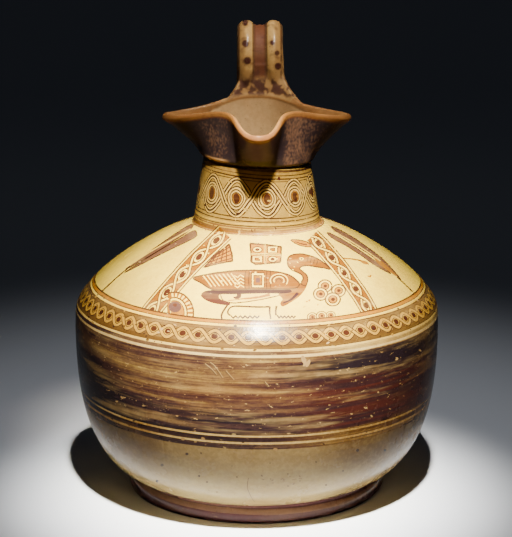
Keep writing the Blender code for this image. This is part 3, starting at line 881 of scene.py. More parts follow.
# The painted wall as a mesh
def cut_sheet(sheet):
    """The sheet cut along all outlines: points, triangles and the topmost paint of each triangle."""
    points, edges, seam = [], [], set()
    for spots, _ in sheet.shapes:
        start = len(points)
        points += [Vector(spot) for spot in spots]
        chain = list(range(start, len(points)))
        edges += zip(chain, chain[1:] + chain[:1])
        seam.update(round(v, 4) for u, v in spots if abs(abs(u) - U_END) < 1e-6)
    rows = int((V_END - V_TOP) / GRID)
    for j in range(rows + 1):
        v = V_TOP + (V_END - V_TOP) * j / rows
        seam.add(round(v, 4))
        shift = 0.5 if j % 2 and 0 < j < rows else 0.0
        for i in range(1, COLUMNS):
            points.append(Vector((U_END * (2 * (i + shift) / COLUMNS - 1), v)))
    for v in seam:
        points += [Vector((-U_END, v)), Vector((U_END, v))]
    spots, _, faces, *_ = delaunay_2d_cdt(points, edges, [], 0, 1e-4)
    return spots, faces, topmost_paints(sheet, np.array(spots), np.array(faces))


def topmost_paints(sheet, spots, faces):
    """The paint of the last shape that covers the middle of each triangle."""
    middles = spots[faces].mean(axis=1)
    top = np.zeros(len(faces), dtype=int)
    for index, (outline, _) in enumerate(sheet.shapes):
        outline = np.array(outline)
        low, high = outline.min(axis=0), outline.max(axis=0)
        near = np.flatnonzero(((middles > low) & (middles < high)).all(axis=1))
        if low[0] == -U_END and high[0] == U_END:
            sides = [side[np.argsort(side[:, 0])] for side in np.split(outline, 2)]
            heights = [np.interp(middles[near, 0], side[:, 0], side[:, 1]) for side in sides]
            inside = (middles[near, 1] - heights[0]) * (middles[near, 1] - heights[1]) < 0
        else:
            inside = turns_around(outline, middles[near]) != 0
        top[near[inside]] = index
    return [sheet.shapes[index][1] for index in top]


def turns_around(outline, points):
    """How many times the outline runs around each point."""
    x, y = points[:, :1], points[:, 1:]
    (x0, y0), (x1, y1) = outline.T, np.roll(outline, -1, axis=0).T
    side = (x1 - x0) * (y - y0) - (x - x0) * (y1 - y0)
    rising = (y0 <= y) & (y < y1) & (side > 0)
    falling = (y1 <= y) & (y < y0) & (side < 0)
    return rising.sum(axis=1) - falling.sum(axis=1)


def inner_line():
    """Inside of the jug as (radius, height), from the middle of the floor up to the neck."""
    floor_height = FOOT_RECESS + FLOOR
    outside = WALL_LINE[WALL_LINE[:, 1] > FOOT_HEIGHT]
    inside = []
    for before, here, after in zip(outside[:-6:3], outside[3:-3:3], outside[6::3]):
        along = Vector(after) - Vector(before)
        place = Vector(here) + Vector((along[1], -along[0])).normalized() * WALL
        if place[1] > floor_height + WALL / 2 and place[0] > neck_radius(here[1]) - 2 * WALL:
            inside.append(tuple(place))
    corner = (FOOT_TOP_RADIUS - WALL, floor_height)
    return [(0.0, floor_height), (corner[0] * 0.5, floor_height), corner, *reversed(inside)]


def edge_points(mesh, v):
    return [mesh.verts.new(on_jug(U_END * (2 * i / COLUMNS - 1), v)) for i in range(COLUMNS)]


def ring_points(mesh, radius, height, tilted=False):
    ring = []
    for i in range(COLUMNS):
        angle = math.tau * i / COLUMNS - math.pi
        z = ledge_height(NECK_TOP_RADIUS * math.sin(angle)) - GROOVE_HEIGHT if tilted else height
        ring.append(mesh.verts.new((radius * math.sin(angle), -radius * math.cos(angle), z)))
    return ring


def join_rings(mesh, rings_of_points):
    for low, high in zip(rings_of_points, rings_of_points[1:]):
        for i in range(len(low)):
            j = (i + 1) % len(low)
            mesh.faces.new((low[i], low[j], high[j], high[i]))


def painted_wall(sheet):
    """Outside, inside, floor and foot of the jug as one closed mesh."""
    spots, faces, paints = cut_sheet(sheet)
    mesh = bmesh.new()
    paint_layer = mesh.loops.layers.float_color.new("paint")
    finish_layer = mesh.loops.layers.float_color.new("finish")
    where = mesh.verts.layers.float_vector.new("where")
    verts = []
    for spot in spots:
        vert = mesh.verts.new(on_jug(spot.x, spot.y))
        vert[where] = (spot.x, spot.y, 1.0)
        verts.append(vert)
    for face, paint in zip(faces, paints):
        made = mesh.faces.new([verts[i] for i in reversed(face)])
        *colour, streak, wear = PAINTS[paint]
        for loop in made.loops:
            loop[paint_layer] = (*tone(*colour), 1.0)
            loop[finish_layer] = (streak, wear, 0.0, 1.0)
    rim = [edge_points(mesh, V_TOP)]
    inner = inner_line()
    rim.append(ring_points(mesh, NECK_TOP_RADIUS - WALL, 0.0, True))
    rim += [ring_points(mesh, radius, height) for radius, height in reversed(inner[1:])]
    join_rings(mesh, rim)
    close_disc(mesh, rim[-1], inner[0][1])
    under = [edge_points(mesh, V_END)]
    ring_inside = FOOT_RADIUS - FOOT_RING_WIDTH
    for radius, height in (
        (FOOT_RADIUS - FOOT_RING_WIDTH / 2, 0.0),
        (ring_inside, 0.0),
        (ring_inside - FOOT_RECESS, FOOT_RECESS),
        (ring_inside / 2, FOOT_RECESS),
    ):
        under.append(ring_points(mesh, radius, height))
    join_rings(mesh, under)
    close_disc(mesh, under[-1], FOOT_RECESS)
    bare = tone(186, 150, 104)
    for face in mesh.faces:
        for loop in face.loops:
            if loop[paint_layer][3] == 0.0:
                loop[paint_layer] = (*bare, 1.0)
                loop[finish_layer] = (0.0, 0.0, 0.0, 1.0)
    bmesh.ops.remove_doubles(mesh, verts=[v for v in mesh.verts if v.is_boundary], dist=0.000004)
    bmesh.ops.recalc_face_normals(mesh, faces=mesh.faces)
    data = bpy.data.meshes.new("painted_wall")
    mesh.to_mesh(data)
    mesh.free()
    item = bpy.data.objects.new("painted_wall", data)
    bpy.context.scene.collection.objects.link(item)
    shade_wall(data)
    return item


def close_disc(mesh, ring, height):
    middle = mesh.verts.new((0.0, 0.0, height))
    for i in range(len(ring)):
        mesh.faces.new((ring[i], ring[(i + 1) % len(ring)], middle))


def shade_wall(data):
    """Normals from the turned profile, so that the small faces of the drawing don't show in the shine."""
    data.shade_smooth()
    data.attributes.new("shade", "FLOAT_COLOR", "POINT")
    where, shade = data.attributes["where"], data.attributes["shade"]
    normals = []
    for vertex, spot, look in zip(data.vertices, where.data, shade.data):
        u, v, outside = spot.vector
        normals.append(wall_normal(u, v) if outside > 0.5 else vertex.normal.copy())
        look.color = (*shade_values(u, v), 1.0) if outside > 0.5 else (0.0, 0.0, 0.2, 1.0)
    data.normals_split_custom_set_from_vertices(normals)


GLAZE_TOP = 96.0
GLAZE_FOOT = 141.8
RINGS_TOP = 90.0
PANEL_FOOT = 74.0
LOWER_TOP = 141.0


def shade_values(u, v):
    """Glaze density, its redness, and the darkening by dirt and painted shade, at a point of the sheet."""
    x = math.sin(u / 100)
    behind = smooth_step(-math.cos(u / 100), -0.2, 0.4)
    left, right = smooth_step(-x, 0.6, 0.9), smooth_step(x, 0.2, 0.55)
    density = 0.54 + 0.04 * smooth_step(v, 106, 114) + 0.34 * smooth_step(v, 121, 129)
    density += left * (0.1 + 0.32 * smooth_step(v, 98, 116)) + (0.52 - 0.25 * behind) * right + 0.1 * behind
    density -= 0.04 * smooth_step(v, 133, 137)
    density += 0.48 * smooth_step(x, 0.02, 0.22) * bump(v / 20, 5.25, 0.35)
    density -= 0.26 * smooth_step(x, 0.5, 0.8) * smooth_step(v, 127, 138)
    density -= 0.34 * smooth_step(abs(x), 0.55, 0.9) * smooth_step(106 - v, 0, 10)
    if v < GLAZE_TOP or v > GLAZE_FOOT:
        density = 0.68 - 0.5 * smooth_step(x, 0, 0.55) * (1 - behind)
    if v < RINGS_TOP:
        density = 0.35
    red = smooth_step(x, 0, 0.5) * smooth_step(v, 104, 122) + 0.4 * bump(v / 10, 11.7, 0.5) * (1 - left)
    # Dirt, and painted shade toward the panel's sides; the frieze darkens, more toward the sides, and the
    # neck darkens, more near its top.
    dirt_and_painted_shade = 0.3 * smooth_step(v, 2, 8) * smooth_step(abs(x), 0.35, 0.85) if v < PANEL_FOOT else 0.0
    dirt_and_painted_shade += 0.3 * smooth_step(v, 74, 78) * (1 + smooth_step(abs(x), 0.5, 0.9))
    dirt_and_painted_shade += 0.5 * smooth_step(-v, -3, 0) + 0.3 * smooth_step(-v, 28, 38)
    # Painted shade over the lower body: darker high up where it turns in under the belly, fading toward the
    # foot, a little darker again at the foot, and darker at both sides.
    if v > LOWER_TOP:
        dirt_and_painted_shade = 0.75 * smooth_step(188 - v, 0, 32) + 0.3 * smooth_step(v, V_FOOT - 6, V_FOOT)
        dirt_and_painted_shade += 0.65 * smooth_step(x, 0.25, 0.8) + 0.5 * smooth_step(-x, 0.35, 0.85)
    return density, min(red, 1.0), min(dirt_and_painted_shade, 1.0)


# The mouth and the handle
def rim_place(angle):
    """Outer edge of the rim as (radius, height)."""
    right, left = math.pi / 2, -math.pi / 2
    side = bump(angle, right, SIDE_LOBE_ANGLE) + bump(angle, left, SIDE_LOBE_ANGLE)
    radius = PINCH_RADIUS
    radius += (FRONT_LOBE_RADIUS - PINCH_RADIUS) * bump(angle, FRONT_LOBE_TURN, FRONT_LOBE_ANGLE)
    radius += (SIDE_LOBE_RADIUS - PINCH_RADIUS) * side
    height = NECK_BASE_HEIGHT + NECK_LENGTH + MOUTH_HEIGHT
    height -= FRONT_LOBE_DROP * bump(angle, FRONT_LOBE_TURN, FRONT_DROP_ANGLE, FRONT_DROP_POWER)
    height -= SIDE_LOBE_DROP * (bump(angle, right, SIDE_DROP_ANGLE) + bump(angle, left, SIDE_DROP_ANGLE))
    height += BACK_RISE * bump(angle, math.pi, BACK_RISE_ANGLE, BACK_RISE_POWER)
    return radius, height


def mouth_place(angle, share, inset=0.0):
    """A point of the flaring mouth, ledge at share 0 and rim at share 1, moved inward by inset."""
    rim_radius, rim_height = rim_place(angle)
    start = NECK_TOP_RADIUS + LEDGE_OVERHANG
    radius = start + (rim_radius - start) * share ** FLARE
    base = ledge_height(radius * math.sin(angle))
    height = base + (rim_height - base) * share
    place = Vector((radius * math.sin(angle), -radius * math.cos(angle), height))
    if inset:
        step = 0.01
        around = mouth_place(angle + step, share) - mouth_place(angle - step, share)
        upward = mouth_place(angle, min(share + step, 1.0)) - mouth_place(angle, max(share - step, 0.0))
        place -= around.cross(upward).normalized() * inset
    return place


def mouth_rings(count):
    """Rings of points over the groove, ledge, outside, lip and inside, down into the neck."""
    angles = [math.tau * i / count for i in range(count)]

    def ring(radius, drop):
        row = []
        for a in angles:
            height = ledge_height(radius * math.sin(a)) - drop
            row.append(Vector((radius * math.sin(a), -radius * math.cos(a), height)))
        return row

    overlap = 0.0004
    rows = [
        ring(NECK_TOP_RADIUS - GROOVE_DEPTH, GROOVE_HEIGHT + overlap),
        ring(NECK_TOP_RADIUS - GROOVE_DEPTH, GROOVE_HEIGHT * 0.3),
        ring(NECK_TOP_RADIUS + LEDGE_OVERHANG * 0.7, 0.0),
    ]
    flare_rows, lip_rows = 16, 7
    shares = [FLARE_START + (1 - FLARE_START) * i / flare_rows for i in range(flare_rows + 1)]
    rows += [[mouth_place(a, share) for a in angles] for share in shares[:-1]]
    for i in range(lip_rows + 2):
        turn = math.pi * i / (lip_rows + 1)
        inset = LIP / 2 * (1 - math.cos(turn))
        lift = Vector((0.0, 0.0, LIP / 2 * math.sin(turn)))
        rows.append([mouth_place(a, 1.0, inset) + lift for a in angles])
    for share in reversed(shares[1:-1]):
        rows.append([mouth_place(a, share, LIP + (WALL - LIP) * (1 - share)) for a in angles])
    low = NECK_TOP_RADIUS - WALL
    rows.append(ring(low, GROOVE_HEIGHT))
    rows.append(ring(low, GROOVE_HEIGHT + overlap))
    return rows


# Steps of the root, the arch and the leg, here and in the solid
PATH_STEPS = (12, 28, 36)
SOLID_STEPS = (6, 10, 8)
ROOT_STEPS = PATH_STEPS[0]


def handle_path():
    """Middle line of the handle as (y, z), from inside the mouth's back wall over to the shoulder."""
    rim_radius, rim_height = rim_place(math.pi)
    front = rim_radius - LIP + ROLL_RADIUS
    arch_base = HANDLE_TOP - ROLL_RADIUS - ARCH_HEIGHT
    spring = (front + SPRING_LEAN, arch_base)
    start = (rim_radius - LIP / 2, rim_height - ROOT_DROP)
    pull = (front, rim_height)
    root = bezier(start, pull, pull, spring, ROOT_STEPS)[:-1]
    rear = front + ARCH_WIDTH
    top_pull = arch_base + ARCH_HEIGHT * 4 / 3
    arch = bezier(spring, (spring[0], top_pull), (rear, top_pull), (rear, arch_base), PATH_STEPS[1])
    seat, outward = shoulder_foot(HANDLE_OUT)
    foot = seat - outward * HANDLE_SINK
    leg_pull = (rear, arch_base - (arch_base - foot[1]) * LEG_HOLD)
    leg = bezier((rear, arch_base), leg_pull, seat + outward * HANDLE_BEND, foot, PATH_STEPS[2])
    return [tuple(point) for point in (*root, *arch, *leg[1:])]


def coarse_share(index):
    """The share along the solid's path, whose steps are uneven, for a step of the finer path."""
    solid, fine = np.cumsum((0, *SOLID_STEPS)), np.cumsum((0, *PATH_STEPS))
    return float(np.interp(index, fine, solid / solid[-1]))


def along_handle(share, root, top, foot):
    return float(np.interp(share, (0, ROOT_SHARE, 1), (root, top, foot)))


def direction(path, i):
    """The way along the handle's path at one of its points."""
    before, after = path[max(i - 1, 0)], path[min(i + 1, len(path) - 1)]
    return Vector((0.0, after[0] - before[0], after[1] - before[1])).normalized()


def roll_rings(side, path, sides=20):
    rim_radius, _ = rim_place(math.pi)
    rows = []
    for i, (y, z) in enumerate(path):
        share = coarse_share(i)
        gap = along_handle(share, ROLL_GAP_ROOT, ROLL_GAP_TOP, ROLL_GAP_FOOT)
        x = along_handle(share, ROOT_SHIFT, HANDLE_SHIFT, HANDLE_SHIFT) + side * gap / 2
        y -= (rim_radius - math.sqrt(rim_radius ** 2 - x ** 2)) * max(1 - i / ROOT_STEPS, 0.0)
        radius = ROLL_RADIUS * min(ROOT_TAPER + (1 - ROOT_TAPER) * i / ROOT_STEPS, 1.0)
        across = Vector((radius, 0.0, 0.0))
        up = direction(path, i).cross(across)
        turns = [math.tau * k / sides for k in range(sides)]
        rows.append([Vector((x, y, z)) + across * math.cos(turn) + up * math.sin(turn) for turn in turns])
    return rows


def strap_rings(path):
    rows = []
    half = Vector((STRAP_WIDTH / 2, 0.0, 0.0))
    for i in range(ROOT_STEPS // 3, len(path)):
        up = direction(path, i).cross(Vector((1.0, 0.0, 0.0))) * STRAP_THICKNESS / 2
        middle = Vector((HANDLE_SHIFT, *path[i]))
        rows.append([middle - half - up, middle + half - up, middle + half + up, middle - half + up])
    return rows


def web_rings(path):
    rim_radius, rim_height = rim_place(math.pi)
    rows, levels, columns = [], 20, 24
    for level in range(levels + 1):
        share = level / levels
        top_half = ROLL_GAP_ROOT / 2 + WEB_TOP_MARGIN - 0.0022 * share
        half = top_half + (WEB_ROOT_WIDTH / 2 - top_half) * (1 - share) ** WEB_SPREAD_POWER
        height = rim_height - LIP + (WEB_HEIGHT + LIP) * share
        row = []
        inner = (LIP * (1 - WEB_INSET), -1, 1, smooth_step(share, 0.0, 1.0))
        outer = (LIP * WEB_INSET, 1, -1, math.sqrt(share))
        for inset, offset, turn, ease in (inner, outer):
            flat = path[ROOT_STEPS][0] + offset * STRAP_THICKNESS / 2
            for i in range(columns + 1):
                x = turn * half * (2 * i / columns - 1) + ROOT_SHIFT
                curved = mouth_place(math.pi - math.asin(x / rim_radius), 1.0, inset)
                curved.z = height
                row.append(curved.lerp(Vector((x, flat, height)), ease))
        rows.append(row)
    return rows


def add_loft(mesh, rows, capped):
    rings_of_points = [[mesh.verts.new(place) for place in row] for row in rows]
    join_rings(mesh, rings_of_points)
    if capped:
        mesh.faces.new(rings_of_points[0][::-1])
        mesh.faces.new(rings_of_points[-1])
    else:
        join_rings(mesh, [rings_of_points[-1], rings_of_points[0]])


def mouth_and_handle():
    """The mouth, its web and the double roll of the handle, grown into one smooth mesh."""
    path = handle_path()
    data = bpy.data.meshes.new("mouth_and_handle")
    mesh = bmesh.new()
    add_loft(mesh, mouth_rings(240), False)
    for rows in (roll_rings(-1, path), roll_rings(1, path), strap_rings(path), web_rings(path)):
        add_loft(mesh, rows, True)
    bmesh.ops.recalc_face_normals(mesh, faces=mesh.faces)
    mesh.to_mesh(data)
    mesh.free()
    item = bpy.data.objects.new("mouth_and_handle", data)
    bpy.context.scene.collection.objects.link(item)
    grow = item.modifiers.new("Grow together", "REMESH")
    grow.mode = "VOXEL"
    grow.voxel_size = VOXEL
    soften = item.modifiers.new("Soften", "SMOOTH")
    soften.factor = 0.5
    soften.iterations = 6
    bpy.context.view_layer.update()
    evaluated = item.evaluated_get(bpy.context.evaluated_depsgraph_get())
    grown = bpy.data.meshes.new_from_object(evaluated)
    item.modifiers.clear()
    item.data = grown
    grown.name = "mouth_and_handle"
    grown.shade_smooth()
    paint_mouth(grown)
    return item


def paint_mouth(data):
    """Colours of the mouth's outside, lip and inside and of the handle, point by point."""
    for name in ("paint", "finish", "shade"):
        data.attributes.new(name, "FLOAT_COLOR", "POINT")
    paint, finish, shade = (data.attributes[name].data for name in ("paint", "finish", "shade"))
    for i, vertex in enumerate(data.vertices):
        colour, matt, wear = mouth_colour(vertex.co, vertex.normal)
        paint[i].color = (*colour, 1.0)
        finish[i].color = (0.0, wear, matt, 1.0)
        shade[i].color = (0.8, 0.1, 0.2, 1.0)


def blend(a, b, share):
    return tuple(x + (y - x) * share for x, y in zip(a, b))


OUTSIDE = tone(38, 29, 32)
# Lighter brush colour, for mottle and painted light on the mouth's outside
OUTSIDE_BRUSHED_AND_LIT = tone(96, 70, 54)
# Painted reflection on the front lobe's underside
UNDER_LOBE_PAINTED_REFLECTION = tone(58, 38, 88)
INSIDE = tone(206, 172, 122)
LIP_CREST = tone(136, 92, 44)
LIP_LINE = tone(84, 46, 24)
LEDGE_CHIPPED = tone(186, 144, 98)
HANDLE_OCHRE = tone(154, 120, 72)
HANDLE_CREAM = tone(190, 156, 94)
HANDLE_STRIP = tone(98, 58, 36)
BLOTCH = tone(66, 36, 30)
# Spots of the handle as place across, height and size, in millimetres
SPOTS = (
    (-9.2, 284, 1.8), (-9, 272.5, 2.2), (-7.8, 262.5, 2.4), (7.6, 273, 1.5), (10.6, 267, 1.6),
    (11.2, 259, 2.2),
)


def mouth_colour(place, normal):
    """Colour, added roughness and wear at a point of the mouth or the handle."""
    angle = math.atan2(place.x, -place.y)
    radius = math.hypot(place.x, place.y)
    rim_radius, rim_height = rim_place(angle)
    base = ledge_height(place.x)
    share = min(max((place.z - base) / (rim_height - base), 0.0), 1.0)
    start = NECK_TOP_RADIUS + LEDGE_OVERHANG
    middle = start + (rim_radius - start) * share ** FLARE - LIP * 0.62
    inside = smooth_step(middle - radius, -0.0006, 0.0006)
    # The outside's lighter brush marks: mottle, and painted light, lighter toward the right and in a patch
    # on the left; painted shade darkens the valleys beside the front lobe and the sides.
    brush_light_and_shade = 0.5 * smooth_step(angle, 0.3, 0.6) + 0.2 * bump(angle, -0.75, 0.25)
    brush_light_and_shade += 0.5 * noise.noise(place * 120)
    brush_light_and_shade += 0.8 * noise.noise(Vector((place.x * 800, place.y * 800, place.z * 700)))
    brush_light_and_shade -= 0.6 * bump(abs(angle), 0.4, 0.09) + 0.6 * smooth_step(abs(angle), 1.0, 1.3)
    outside = blend(OUTSIDE, OUTSIDE_BRUSHED_AND_LIT, smooth_step(brush_light_and_shade, -0.1, 1.1))
    # Painted reflection: a lit patch on the front lobe's underside.
    under = bump(angle, 0.02, 0.27, 4.0) * smooth_step(share, 0.12, 0.25)
    outside = blend(outside, UNDER_LOBE_PAINTED_REFLECTION, under)
    chipped = smooth_step(0.09 - share, 0, 0.03) * smooth_step(-angle, 0.45, 0.7)
    outside = blend(outside, LEDGE_CHIPPED, chipped * smooth_step(1.2 + angle, 0, 0.2))
    colour = blend(outside, INSIDE, inside)
    wear, matt = 0.03 * (1 - inside), 0.15 * (1 - inside)
    crest = smooth_step(place.z, rim_height - 0.0022, rim_height - 0.0012)
    below = (rim_height - place.z) / MM
    edge = 0.9 * smooth_step(0.9 - abs(below - 1.9), 0, 0.7)
    edge += 0.5 * smooth_step(0.5 - abs(below - 0.2), 0, 0.4)
    # Lip lines, and painted shade on the crest at the sides; the crest stays lighter at the front, a painted
    # highlight.
    lip_lines_and_side_shade = max(crest * 0.4 * smooth_step(abs(angle), 0.5, 0.9), edge)
    lip_lines_and_side_shade *= smooth_step(2.4 - abs(angle), 0, 0.4)
    colour = blend(colour, LIP_CREST, crest * 0.85)
    matt += 0.35 * smooth_step(abs(angle), 1.9, 2.3)
    colour = blend(colour, LIP_LINE, lip_lines_and_side_shade * (0.75 + 0.5 * noise.noise(place * 300)))
    if place.y > 0.02 and (place.z > rim_height or radius > rim_radius + 0.002):
        return handle_colour(place, normal.y < 0.35)
    return colour, matt, wear


def handle_colour(place, front):
    x, z = (place.x - HANDLE_SHIFT) / MM, place.z / MM
    colour = HANDLE_OCHRE
    strip = smooth_step(3.4 - abs(x), -0.5, 0.5) * smooth_step(z, 250.0, 254.0)
    edge = smooth_step(1.1 - abs(abs(x) - 3.9), 0, 0.6) + smooth_step(0.9 - abs(abs(x) - 13.2), 0, 0.7)
    edge *= smooth_step(z, 249.0, 253.0)
    if front:
        panel = smooth_step(z, 255.5, 257.5) * smooth_step(2.6 - abs(abs(x) - 6.8), -0.8, 0.8)
        colour = blend(colour, HANDLE_CREAM, 0.7 * panel)
    colour = blend(colour, HANDLE_STRIP, strip)
    colour = blend(colour, BLOTCH, 0.75 * min(edge, 1.0))
    if front:
        for spot_x, spot_z, size in SPOTS:
            away = math.hypot(x - spot_x, z - spot_z)
            colour = blend(colour, HANDLE_OCHRE, 0.6 * smooth_step(size + 1.2 - away, -0.3, 0.3))
            colour = blend(colour, BLOTCH, smooth_step(size - away, -0.4, 0.5))
    cloud = noise.noise(place * 210) + 0.5 * noise.noise(place * 520)
    low = smooth_step(253.5 - z, 0.0, 4.0) * smooth_step(z, 240.5, 242.5)
    colour = blend(colour, BLOTCH, 0.9 * low * smooth_step(cloud, -0.3, 0.1))
    colour = blend(colour, BLOTCH, 0.5 * smooth_step(cloud, 0.05, 0.7))
    return colour, 0.4 * max(strip, smooth_step(254.0 - z, 0.0, 4.0)), 0.08


# Materials
def node(tree, kind, **values):
    made = tree.nodes.new(kind)
    for name, value in values.items():
        setattr(made, name, value)
    return made


def feed(tree, socket, value):
    """A socket takes a number, a colour or another node's output."""
    if isinstance(value, bpy.types.NodeSocket):
        tree.links.new(value, socket)
    else:
        socket.default_value = value


def maths(tree, operation, first, second=0.0, third=0.0, clamp=False):
    made = node(tree, "ShaderNodeMath", operation=operation, use_clamp=clamp)
    for socket, value in zip(made.inputs, (first, second, third)):
        feed(tree, socket, value)
    return made.outputs[0]


def mixed(tree, share, first, second, mode="MIX"):
    made = node(tree, "ShaderNodeMix", data_type="RGBA", blend_type=mode)
    feed(tree, made.inputs["Factor"], share)
    for socket, value in ((made.inputs[6], first), (made.inputs[7], second)):
        feed(tree, socket, (*value, 1.0) if isinstance(value, tuple) else value)
    return made.outputs[2]


def ranged(tree, value, low, high, to_low=0.0, to_high=1.0):
    made = node(tree, "ShaderNodeMapRange", interpolation_type="SMOOTHSTEP")
    for socket, number in zip(made.inputs, (value, low, high, to_low, to_high)):
        feed(tree, socket, number)
    return made.outputs[0]


def noise_at(tree, vector, scale, detail=3.0, roughness=0.55):
    """Noise over the jug, with its own scale for x, y and z."""
    spread = node(tree, "ShaderNodeMapping")
    spread.inputs["Scale"].default_value = scale
    feed(tree, spread.inputs["Vector"], vector)
    made = node(tree, "ShaderNodeTexNoise")
    made.inputs["Scale"].default_value = 1.0
    made.inputs["Detail"].default_value = detail
    made.inputs["Roughness"].default_value = roughness
    feed(tree, made.inputs["Vector"], spread.outputs[0])
    return made.outputs["Fac"]


def attribute(tree, name):
    made = node(tree, "ShaderNodeAttribute", attribute_name=name)
    split = node(tree, "ShaderNodeSeparateColor")
    feed(tree, split.inputs[0], made.outputs["Color"])
    return made.outputs["Color"], split.outputs


# The dark glaze from thin to thick: place on the ramp, red, green and blue
GLAZE_STOPS = (
    (0, 172, 146, 82), (0.3, 126, 100, 56), (0.5, 94, 68, 48), (0.72, 62, 42, 40), (1, 36, 27, 32),
)


def painted_clay():
    """Fired clay under cream slip and paint: blotchy, streaked by the wheel, worn and a little glossy."""
    material = bpy.data.materials.new("painted clay")
    material.use_nodes = True
    tree = material.node_tree
    shader = tree.nodes["Principled BSDF"]
    where = node(tree, "ShaderNodeTexCoord").outputs["Object"]
    paint, _ = attribute(tree, "paint")
    _, finish = attribute(tree, "finish")
    _, shade = attribute(tree, "shade")
    streak_share, wear_share = finish[0], finish[1]
    density, redness, dirt_and_painted_shade = shade[0], shade[1], shade[2]

    thin = noise_at(tree, where, (16, 16, 1500), 2.0)
    broad = noise_at(tree, where, (7, 7, 330), 4.0, 0.6)
    wide = noise_at(tree, where, (4, 4, 90), 2.0)
    cloud = noise_at(tree, where, (38, 38, 38), 4.0, 0.6)
    mottle = noise_at(tree, where, (110, 110, 420), 6.0, 0.8)
    grain = noise_at(tree, where, (420, 420, 420), 3.0, 0.6)
    speck = noise_at(tree, where, (900, 900, 900), 1.0)
    flake = noise_at(tree, where, (230, 230, 520), 4.0, 0.7)

    depth = density
    for pattern, share in ((broad, 1.3), (thin, 0.7), (mottle, 0.9), (wide, 0.7)):
        depth = maths(tree, "ADD", depth, maths(tree, "MULTIPLY_ADD", pattern, share, -share / 2))
    ramp = node(tree, "ShaderNodeValToRGB")
    while len(ramp.color_ramp.elements) < len(GLAZE_STOPS):
        ramp.color_ramp.elements.new(0.5)
    for element, (position, *colour) in zip(ramp.color_ramp.elements, GLAZE_STOPS):
        element.position = position
        element.color = (*tone(*colour), 1.0)
    feed(tree, ramp.inputs[0], depth)
    red_share = maths(tree, "MULTIPLY", redness, ranged(tree, broad, 0.36, 0.6, 0.15, 0.7))
    glaze = mixed(tree, red_share, ramp.outputs[0], tone(76, 34, 24))
    colour = mixed(tree, streak_share, paint, glaze)

    slip = mixed(tree, ranged(tree, cloud, 0.3, 0.7), tone(228, 196, 128), tone(196, 156, 90))
    lost = ranged(tree, flake, 0.62, 0.70)
    lost = maths(tree, "MULTIPLY", lost, wear_share, clamp=True)
    fade = noise_at(tree, where, (16, 16, 190), 4.0, 0.65)
    faded = maths(tree, "MULTIPLY", ranged(tree, fade, 0.45, 0.72, 0.0, 0.5), wear_share)
    colour = mixed(tree, maths(tree, "MAXIMUM", lost, faded), colour, slip)

    blotch = ranged(tree, cloud, 0.3, 0.75, 0.0, 0.28)
    colour = mixed(tree, blotch, colour, tone(190, 150, 88), "MULTIPLY")
    # Dirt and painted shade from the shade attribute darken the colour.
    grime_and_painted_shade = maths(tree, "MULTIPLY", dirt_and_painted_shade, ranged(tree, grain, 0.3, 0.6, 0.85, 1.0))
    colour = mixed(tree, grime_and_painted_shade, colour, tone(150, 130, 96), "MULTIPLY")
    freckle = ranged(tree, grain, 0.35, 0.75, 0.0, 0.12)
    colour = mixed(tree, freckle, colour, tone(150, 120, 80), "MULTIPLY")
    dark_speck = ranged(tree, speck, 0.71, 0.76, 0.0, 0.6)
    colour = mixed(tree, dark_speck, colour, tone(70, 50, 36))
    feed(tree, shader.inputs["Base Color"], colour)

    rough = maths(tree, "ADD", ranged(tree, cloud, 0.3, 0.7, 0.2, 0.3), finish[2])
    rough = maths(tree, "ADD", rough, maths(tree, "MULTIPLY", lost, 0.25))
    feed(tree, shader.inputs["Roughness"], rough)
    shader.inputs["Specular IOR Level"].default_value = 0.13

    height = 0.0
    for pattern, share in ((thin, 0.25), (grain, 0.35), (broad, 0.6), (lost, -0.5)):
        height = maths(tree, "MULTIPLY_ADD", pattern, share, height)
    relief = node(tree, "ShaderNodeBump")
    feed(tree, relief.inputs["Strength"], ranged(tree, finish[2], 0.0, 0.15, 0.35, 0.08))
    relief.inputs["Distance"].default_value = 0.0005
    feed(tree, relief.inputs["Height"], height)
    feed(tree, shader.inputs["Normal"], relief.outputs[0])
    return material


# The studio
def add_camera():
    data = bpy.data.cameras.new("camera")
    data.sensor_width = 36.0
    data.lens = FOCAL_PIXELS / PHOTO_HEIGHT * data.sensor_width
    data.shift_x = (PHOTO_WIDTH / 2 - AXIS_COLUMN) / PHOTO_HEIGHT
    data.clip_end = 50.0
    camera = bpy.data.objects.new("camera", data)
    camera.location = (
        0.0,
        -CAMERA_DISTANCE * math.cos(CAMERA_TILT),
        TARGET_HEIGHT + CAMERA_DISTANCE * math.sin(CAMERA_TILT),
    )
    camera.rotation_euler = (math.pi / 2 - CAMERA_TILT, 0.0, 0.0)
    bpy.context.scene.collection.objects.link(camera)
    bpy.context.scene.camera = camera


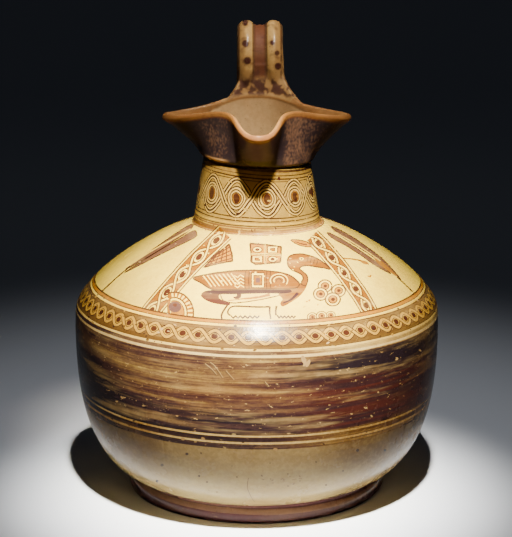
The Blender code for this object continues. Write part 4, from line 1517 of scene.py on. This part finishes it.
def add_light(kind, name, energy, location, target, colour):
    data = bpy.data.lights.new(name, kind)
    data.energy = energy
    data.color = colour
    item = bpy.data.objects.new(name, data)
    item.location = location
    item.rotation_euler = (Vector(target) - Vector(location)).to_track_quat("-Z", "Y").to_euler()
    bpy.context.scene.collection.objects.link(item)
    return data


def add_spot(name, radius, energy, spread, *aim):
    data = add_light("SPOT", name, energy, *aim)
    data.shadow_soft_size = radius
    data.spot_size = math.radians(spread)
    data.spot_blend = 1.0


def add_floor():
    material = bpy.data.materials.new("pale floor")
    material.use_nodes = True
    shader = material.node_tree.nodes["Principled BSDF"]
    shader.inputs["Base Color"].default_value = (*tone(236, 240, 246), 1.0)
    shader.inputs["Roughness"].default_value = 0.8
    bpy.ops.mesh.primitive_plane_add(size=14.0, location=(0.0, 3.0, 0.0))
    floor = bpy.context.object
    floor.name = "floor"
    floor.data.materials.append(material)


def studio():
    """A dark room, a pale floor, three beams from high in front, one on the mouth, a faint one behind."""
    world = bpy.data.worlds.new("studio")
    world.use_nodes = True
    background = world.node_tree.nodes["Background"]
    background.inputs["Color"].default_value = (0.75, 0.82, 1.0, 1.0)
    background.inputs["Strength"].default_value = 0.012
    bpy.context.scene.world = world
    add_floor()
    lamp = (0.05, -0.64, 1.33)
    add_spot("key", 0.045, 700.0, 12.4, lamp, (0.0, -0.03, 0.0), (1.0, 0.97, 0.92))
    add_spot("warm", 0.045, 350.0, 8.6, lamp, (0.0, -0.07, 0.13), (1.0, 0.88, 0.42))
    add_spot("wide", 0.045, 22.0, 29.5, lamp, (0.0, 0.055, 0.0), (0.95, 0.96, 1.0))
    add_spot("top", 0.05, 175.0, 6.6, (0.25, -0.35, 1.55), (0.0, 0.035, 0.265), (1.0, 0.91, 0.8))
    back = add_light("AREA", "back", 0.05, (0.0, 0.9, 0.9), (0.0, 0.0, 0.12), (0.9, 0.94, 1.0))
    back.shape = "DISK"
    back.size = 0.5


def main():
    add_camera()
    studio()
    clay = painted_clay()
    for piece in (painted_wall(drawing()), mouth_and_handle()):
        piece.data.materials.append(clay)
        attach(piece, "root")
        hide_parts(NODE)


main()
